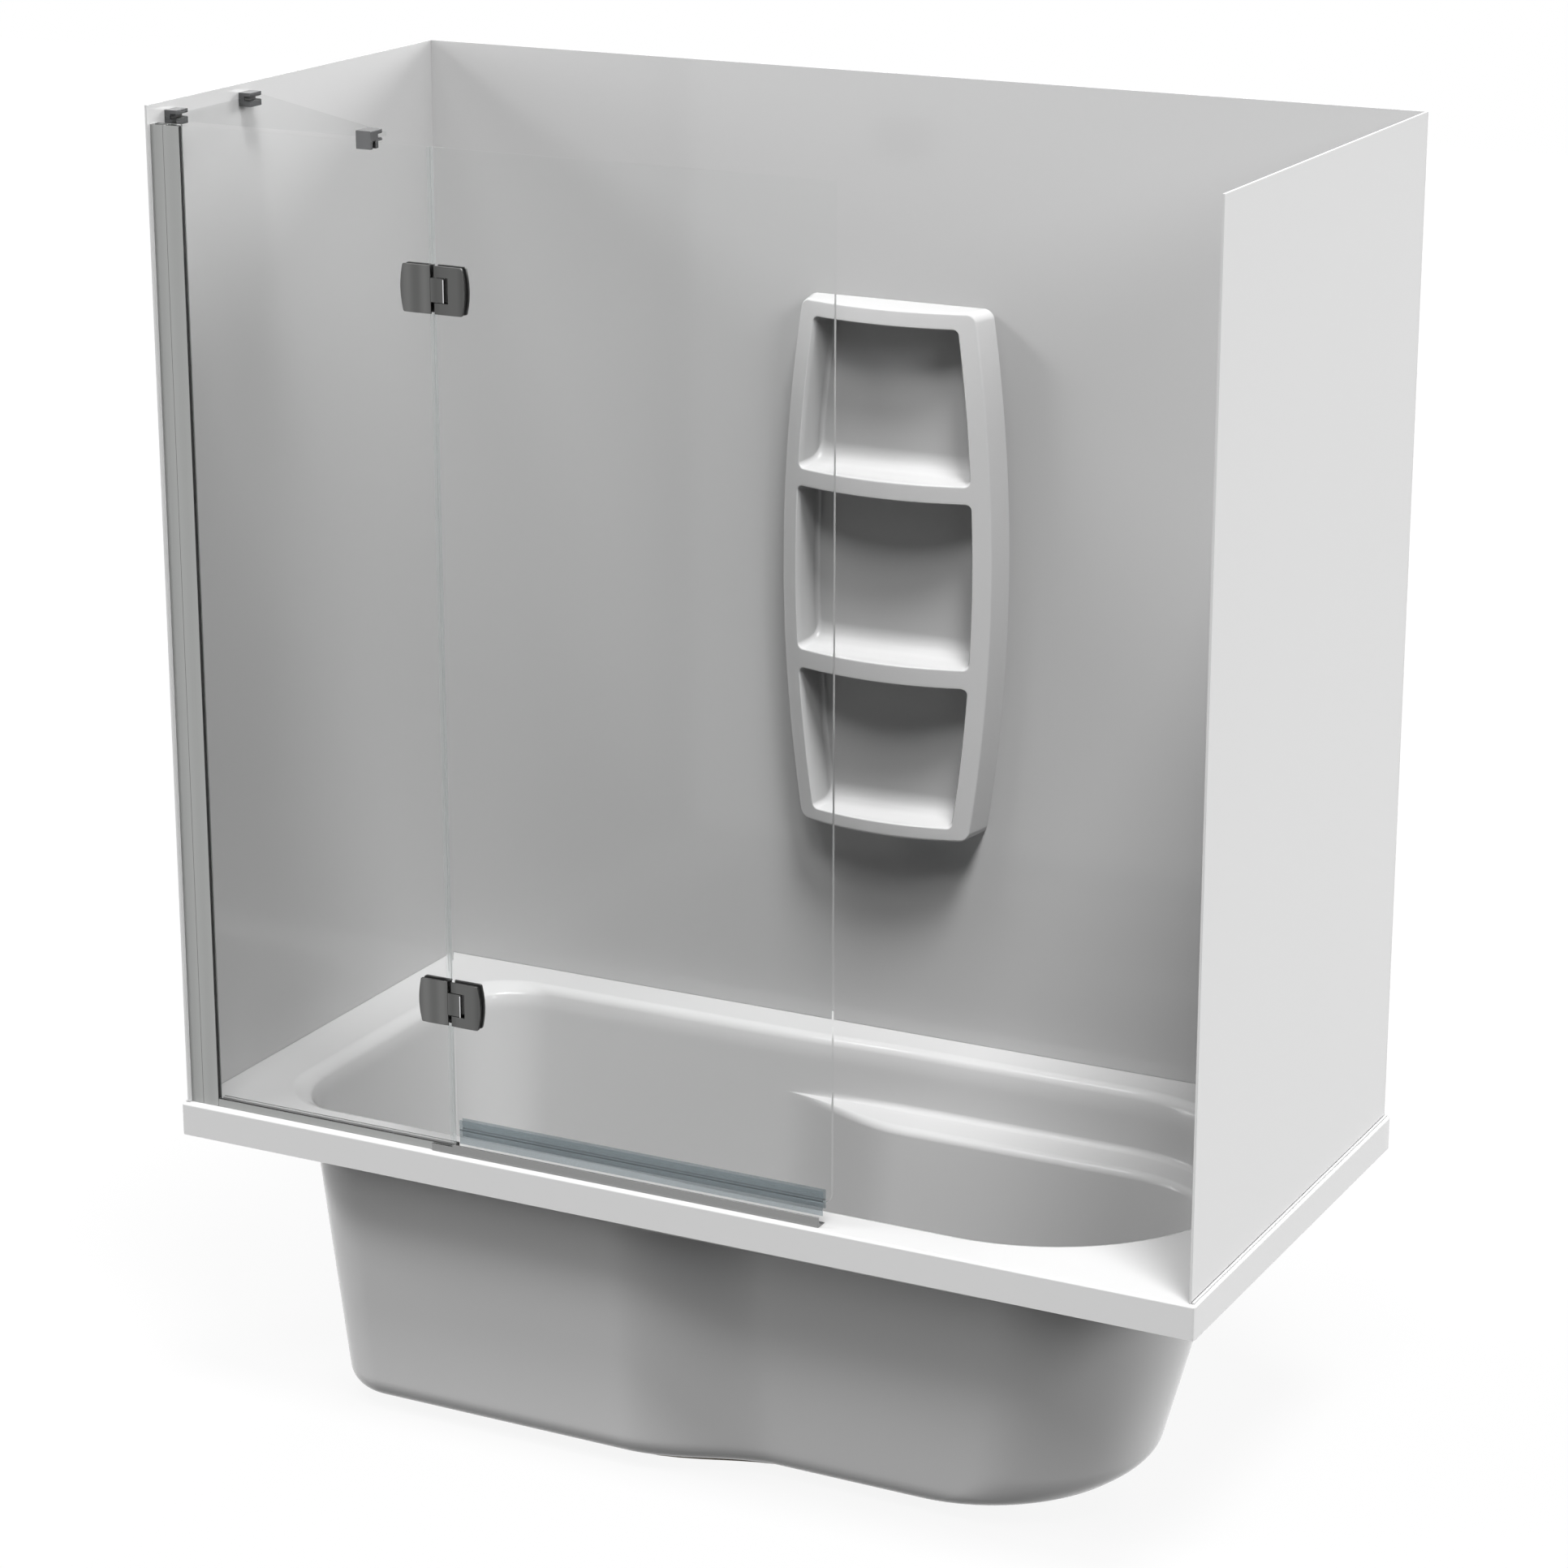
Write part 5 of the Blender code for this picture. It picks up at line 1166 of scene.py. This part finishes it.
def see_through(tree, shader, shade):
    """Lamp light and soft light pass a clear piece straight, a share of them at each face."""
    path = tree.nodes.new("ShaderNodeLightPath").outputs
    passing = add(tree, "ShaderNodeBsdfTransparent", Color=grey(shade)).outputs[0]
    surface = shader.outputs[0]
    for ray in ("Is Diffuse Ray", "Is Shadow Ray"):
        surface = mixed(tree, path[ray], surface, passing)
    tree.links.new(surface, tree.nodes["Material Output"].inputs["Surface"])


def moulded(name, values, bump, plain=None, **light):
    return finish(name, skin_group, dict(zip(SKIN_KEYS, values)), bump, plain or {}, **light)


def drawn(name, values, bump, plain):
    return finish(name, lines_and_sheen_group, dict(zip(LINE_KEYS, values)), bump, plain)


print("finish helpers ready")

# %% [markdown]
# Each row is one real material: its colour, how far the colour drifts, its
# roughness, how far that drifts, the size of its peel, and the height of the
# relief in metres. The white ones end with their tone for light that has
# bounced. Rubber and the waste's nut come out of a mould too, so they take the
# same group with rougher numbers.

# %% Acrylic, rubber and plastic
BOUNCE, POCKET_BOUNCE = 0.35, 0.14
SATIN = {"Specular IOR Level": 0.33}
WHITE_SKINS = (
    ("tub_acrylic", (grey(0.86), 0.006, 0.13, 0.02, 240.0), 0.000012, BOUNCE),
    ("panel_acrylic", (grey(0.85), 0.005, 0.10, 0.02, 120.0), 0.000008, BOUNCE),
    ("shelf_acrylic", (grey(0.96), 0.006, 0.16, 0.02, 300.0), 0.000012, POCKET_BOUNCE),
)
DULL_SKINS = (
    ("gasket_rubber", (grey(0.02), 0.15, 0.5, 0.1, 1500.0), 0.00003),
    ("pale_gasket", (grey(0.62), 0.05, 0.5, 0.1, 1500.0), 0.00002),
    ("nut_plastic", (grey(0.20), 0.05, 0.5, 0.08, 1200.0), 0.00003),
)

finishes = {}
for name, values, bump, bounce in WHITE_SKINS:
    finishes[name] = moulded(name, values, bump, SATIN, bounce=bounce)
for name, values, bump in DULL_SKINS:
    finishes[name] = moulded(name, values, bump)
print("moulded finishes:", sorted(finishes))

# %% [markdown]
# Metals take the lines and their painted sheen. The scale has a small number for
# the axis that the lines run along, and a last number sets how strong the painted
# sheen is: wide bands of painted light and shade that stand in for reflections.
# The board takes them too: with wide, strong lines they read as grain.

# %% Metals and board
UPRIGHT, LENGTHWISE = (1400.0, 1400.0, 3.0), (3.0, 1400.0, 1400.0)
METAL, CHROME = {"Metallic": 1.0}, (0.80, 0.80, 0.82, 1)
ALUMINIUM, DARK_SILL = (0.34, 0.345, 0.34, 1), (0.265, 0.267, 0.265, 1)
HINGE, BRACKET = (0.135, 0.136, 0.134, 1), (0.155, 0.157, 0.160, 1)
BOARD, GRAIN = (0.62, 0.55, 0.44, 1), (30.0, 400.0, 400.0)
# the last number of a metal row is how strong its painted sheen is
LINED = (
    ("board_wood", (BOARD, 0.25, 0.7, 0.08, GRAIN), 0.0002, {}),
    ("waste_chrome", (CHROME, 0.02, 0.12, 0.03, (500.0, 500.0, 500.0)), 0.000004, METAL),
    ("fixing_steel", (CHROME, 0.04, 0.22, 0.04, (900.0, 900.0, 900.0)), 0.000004, METAL),
    ("channel_aluminium", (ALUMINIUM, 0.03, 0.36, 0.04, UPRIGHT, 0.08), 0.000002, METAL),
    ("rail_aluminium", (ALUMINIUM, 0.02, 0.28, 0.01, LENGTHWISE, 0.0), 0.0000003, METAL),
    ("sill_aluminium", (DARK_SILL, 0.02, 0.24, 0.01, LENGTHWISE, 0.0), 0.0000003, METAL),
    ("hinge_metal", (HINGE, 0.05, 0.30, 0.03, UPRIGHT, 0.30), 0.000002, METAL),
    ("bracket_metal", (BRACKET, 0.04, 0.26, 0.03, UPRIGHT, 0.05), 0.000002, METAL),
)

for name, values, bump, plain in LINED:
    finishes[name] = drawn(name, values, bump, plain)
print("lined finishes:", [row[0] for row in LINED])

# %% [markdown]
# Clear pieces come last. A pane's row gives its tone, its index of refraction
# and the share of light that each face lets pass. The index is low on purpose:
# at a real one, light caught inside a plate this thin turns its far edge black.
# The seal's painted shade bands need its foot and top, which are read from its solid.

# %% Glass and vinyl
PANES = (
    ("screen_glass", 0.99, 1.03, 0.82), ("fixed_pane", 0.99, 1.03, 0.77),
    ("brace_plate", 0.93, 1.004, 0.86),
)
VINYL_SHADE = 0.82

for name, tone, bend, shade in PANES:
    colour = (tone - 0.004, tone, tone - 0.002, 1)
    finishes[name] = moulded(name, (colour, 0.002, 0.004, 0.004, 20.0), 0.000002,
                             {"Transmission Weight": 1.0, "IOR": bend}, shade=shade)
finishes["clear_vinyl"] = moulded(
    "clear_vinyl", ((0.95, 0.97, 0.97, 1), 0.01, 0.04, 0.02, 400.0), 0.000004,
    {"Transmission Weight": 0.97, "IOR": 1.04}, shade=VINYL_SHADE)

seal_low, seal_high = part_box("door_bottom_seal")
seal_origin = nodes["door_bottom_seal"].matrix_world.translation
# painted shade bands of the seal, placed between its foot and top
bands = {
    "Colour": (0.60, 0.655, 0.68, 1), "Roughness": 0.06,
    "Foot": seal_low.z - seal_origin.z, "Top": seal_high.z - seal_origin.z,
}
finishes["smoke_vinyl"] = finish(
    "smoke_vinyl", seal_shade_group, bands, 0.000002,
    {"Transmission Weight": 0.88, "IOR": 1.06}, shade=VINYL_SHADE)
print("finishes:", sorted(finishes))

# %% [markdown]
# The record says which slot each solid takes its finish from, so the solids are
# dressed in one loop. Rail and sill are drawn along the bath, so they take the
# aluminium whose lines run that way; the fixed pane and the brace have a finish
# of their own, and so have the brackets, which share a slot with the hinges.

# %% Dress the solids
slot_of = {part["node"]: part["material_slot"] for part in frame["record"]["subparts"]}
DRESSED_APART = {
    "bottom_rail": "rail_aluminium", "sill_strip": "sill_aluminium",
    "fixed_glass": "fixed_pane", "brace_glass": "brace_plate",
}


def dress(piece, mat):
    piece.data.materials.clear()
    piece.data.materials.append(mat)


for name, node in nodes.items():
    slot = DRESSED_APART.get(name, slot_of[name])
    if "bracket" in name and slot == "hinge_metal":
        slot = "bracket_metal"
    node.material_slots[0].material = finishes[slot]
dress(tub_piece, finishes["tub_acrylic"])
dress(shelf_piece, finishes["shelf_acrylic"])
dress(profile, finishes["channel_aluminium"])
for piece in leaves:
    dress(piece, finishes["hinge_metal"])
for piece in strips:
    dress(piece, finishes["fixing_steel"])
for piece in gaskets:
    dress(piece, finishes["pale_gasket" if "back" in piece.name else "gasket_rubber"])
print("dressed", len(nodes), "solids")

# %% [markdown]
# The studio is a plain pale floor, a white backdrop and far, soft lamps. The
# camera, reflections and clear pieces see a white floor and a white sky. Soft
# light meets a darker floor, because a bright one would fill the pockets and the
# bowl from below and take away their depth.

# %% Floor
FLOOR_SEEN, FLOOR_HIDDEN, FLOOR_GLOW = 0.08, 0.04, 0.90
FLOOR_HALF, FLOOR_AT, FLOOR_ROUGH = 12, -0.0005, 0.9


def seen_rays(tree):
    """1 for rays that the camera, a gloss or a clear piece sends, 0 for soft light."""
    path = tree.nodes.new("ShaderNodeLightPath").outputs
    first = math_of(tree, "MAXIMUM", path["Is Camera Ray"], path["Is Glossy Ray"])
    return math_of(tree, "MAXIMUM", first, path["Is Transmission Ray"])


def studio_floor():
    bm = bmesh.new()
    bmesh.ops.create_grid(bm, x_segments=1, y_segments=1, size=FLOOR_HALF)
    mesh = bpy.data.meshes.new("floor")
    bm.to_mesh(mesh)
    bm.free()
    floor = bpy.data.objects.new("floor", mesh)
    floor.location.z = FLOOR_AT
    bpy.context.scene.collection.objects.link(floor)
    mat = bpy.data.materials.new("floor_paper")
    mat.use_nodes = True
    tree = mat.node_tree
    paper = tree.nodes["Principled BSDF"].inputs
    paper["Roughness"].default_value = FLOOR_ROUGH
    paper["Specular IOR Level"].default_value = 0.0
    paper["Emission Color"].default_value = (1, 1, 1, 1)
    seen = seen_rays(tree)
    tone = add(tree, "ShaderNodeMapRange", Value=seen, To_Min=FLOOR_HIDDEN, To_Max=FLOOR_SEEN)
    tree.links.new(tone.outputs[0], paper["Base Color"])
    tree.links.new(math_of(tree, "MULTIPLY", seen, FLOOR_GLOW), paper["Emission Strength"])
    dress(floor, mat)
    return floor


floor = studio_floor()
print("floor at", floor.location.z)

# %% [markdown]
# The sky is white where it is seen and nearly dark as a light, so that all the
# light on the bath comes from lamps whose place is known.

# %% World
SKY_SOFT = 0.02


def sky():
    world = bpy.data.worlds.new("studio")
    bpy.context.scene.world = world
    world.use_nodes = True
    tree = world.node_tree
    back = tree.nodes["Background"]
    back.inputs["Color"].default_value = (1, 1, 1, 1)
    seen = seen_rays(tree)
    level = add(tree, "ShaderNodeMapRange", Value=seen, To_Min=SKY_SOFT, To_Max=1.0)
    tree.links.new(level.outputs[0], back.inputs["Strength"])


sky()
print("sky is 1 to the camera and", SKY_SOFT, "as soft light")

# %% [markdown]
# The lamps are placed by what their light and shadows do on the real bath. Three
# high in front make the dark tops of the pockets and the soft shade under the
# shelf. Two at the left light the bowl's flank up to its waist, and the flank
# beyond it stays darker. Four at the right reach the right wall sheet and the
# right end of the rim, and one behind lights the back. Far lamps are sun lamps
# with a wide disc: each is a direction, an angular size and a strength, and the
# last word says whether polished pieces mirror it.

# %% Lamps
LAMPS_OFF = 6
LAMPS = (
    ("high_right", 45, 67, 14, 2.02, True),
    ("high_front", 15, 56, 14, 0.68, True),
    ("high_left", -45, 67, 14, 0.42, True),
    ("side_left", -70, 30, 14, 0.88, False),
    ("low_left", -60, 10, 24, 0.67, False),
    ("mid_right", 60, 25, 20, 0.62, False),
    ("low_right", 95, 20, 24, 0.33, False),
    ("side_right", 140, 14, 24, 1.25, True),
    ("over_right", 100, 60, 20, 0.18, False),
    ("behind", 180, 30, 24, 1.0, False),
)


def lamp(name, turn, rise, disc, strength, mirrored_in):
    """Far soft lamp, turn degrees round from the front to the right, rise degrees up."""
    light = bpy.data.lights.new(name, "SUN")
    light.angle = math.radians(disc)
    light.energy = strength
    a, e = math.radians(turn), math.radians(rise)
    towards = Vector((math.sin(a) * math.cos(e), -math.cos(a) * math.cos(e), math.sin(e)))
    hung = bpy.data.objects.new(name, light)
    hung.location = towards * LAMPS_OFF
    hung.rotation_euler = (-towards).to_track_quat("-Z", "Y").to_euler()
    hung.visible_glossy = mirrored_in
    bpy.context.scene.collection.objects.link(hung)


for settings in LAMPS:
    lamp(*settings)
print("lamps:", [settings[0] for settings in LAMPS])
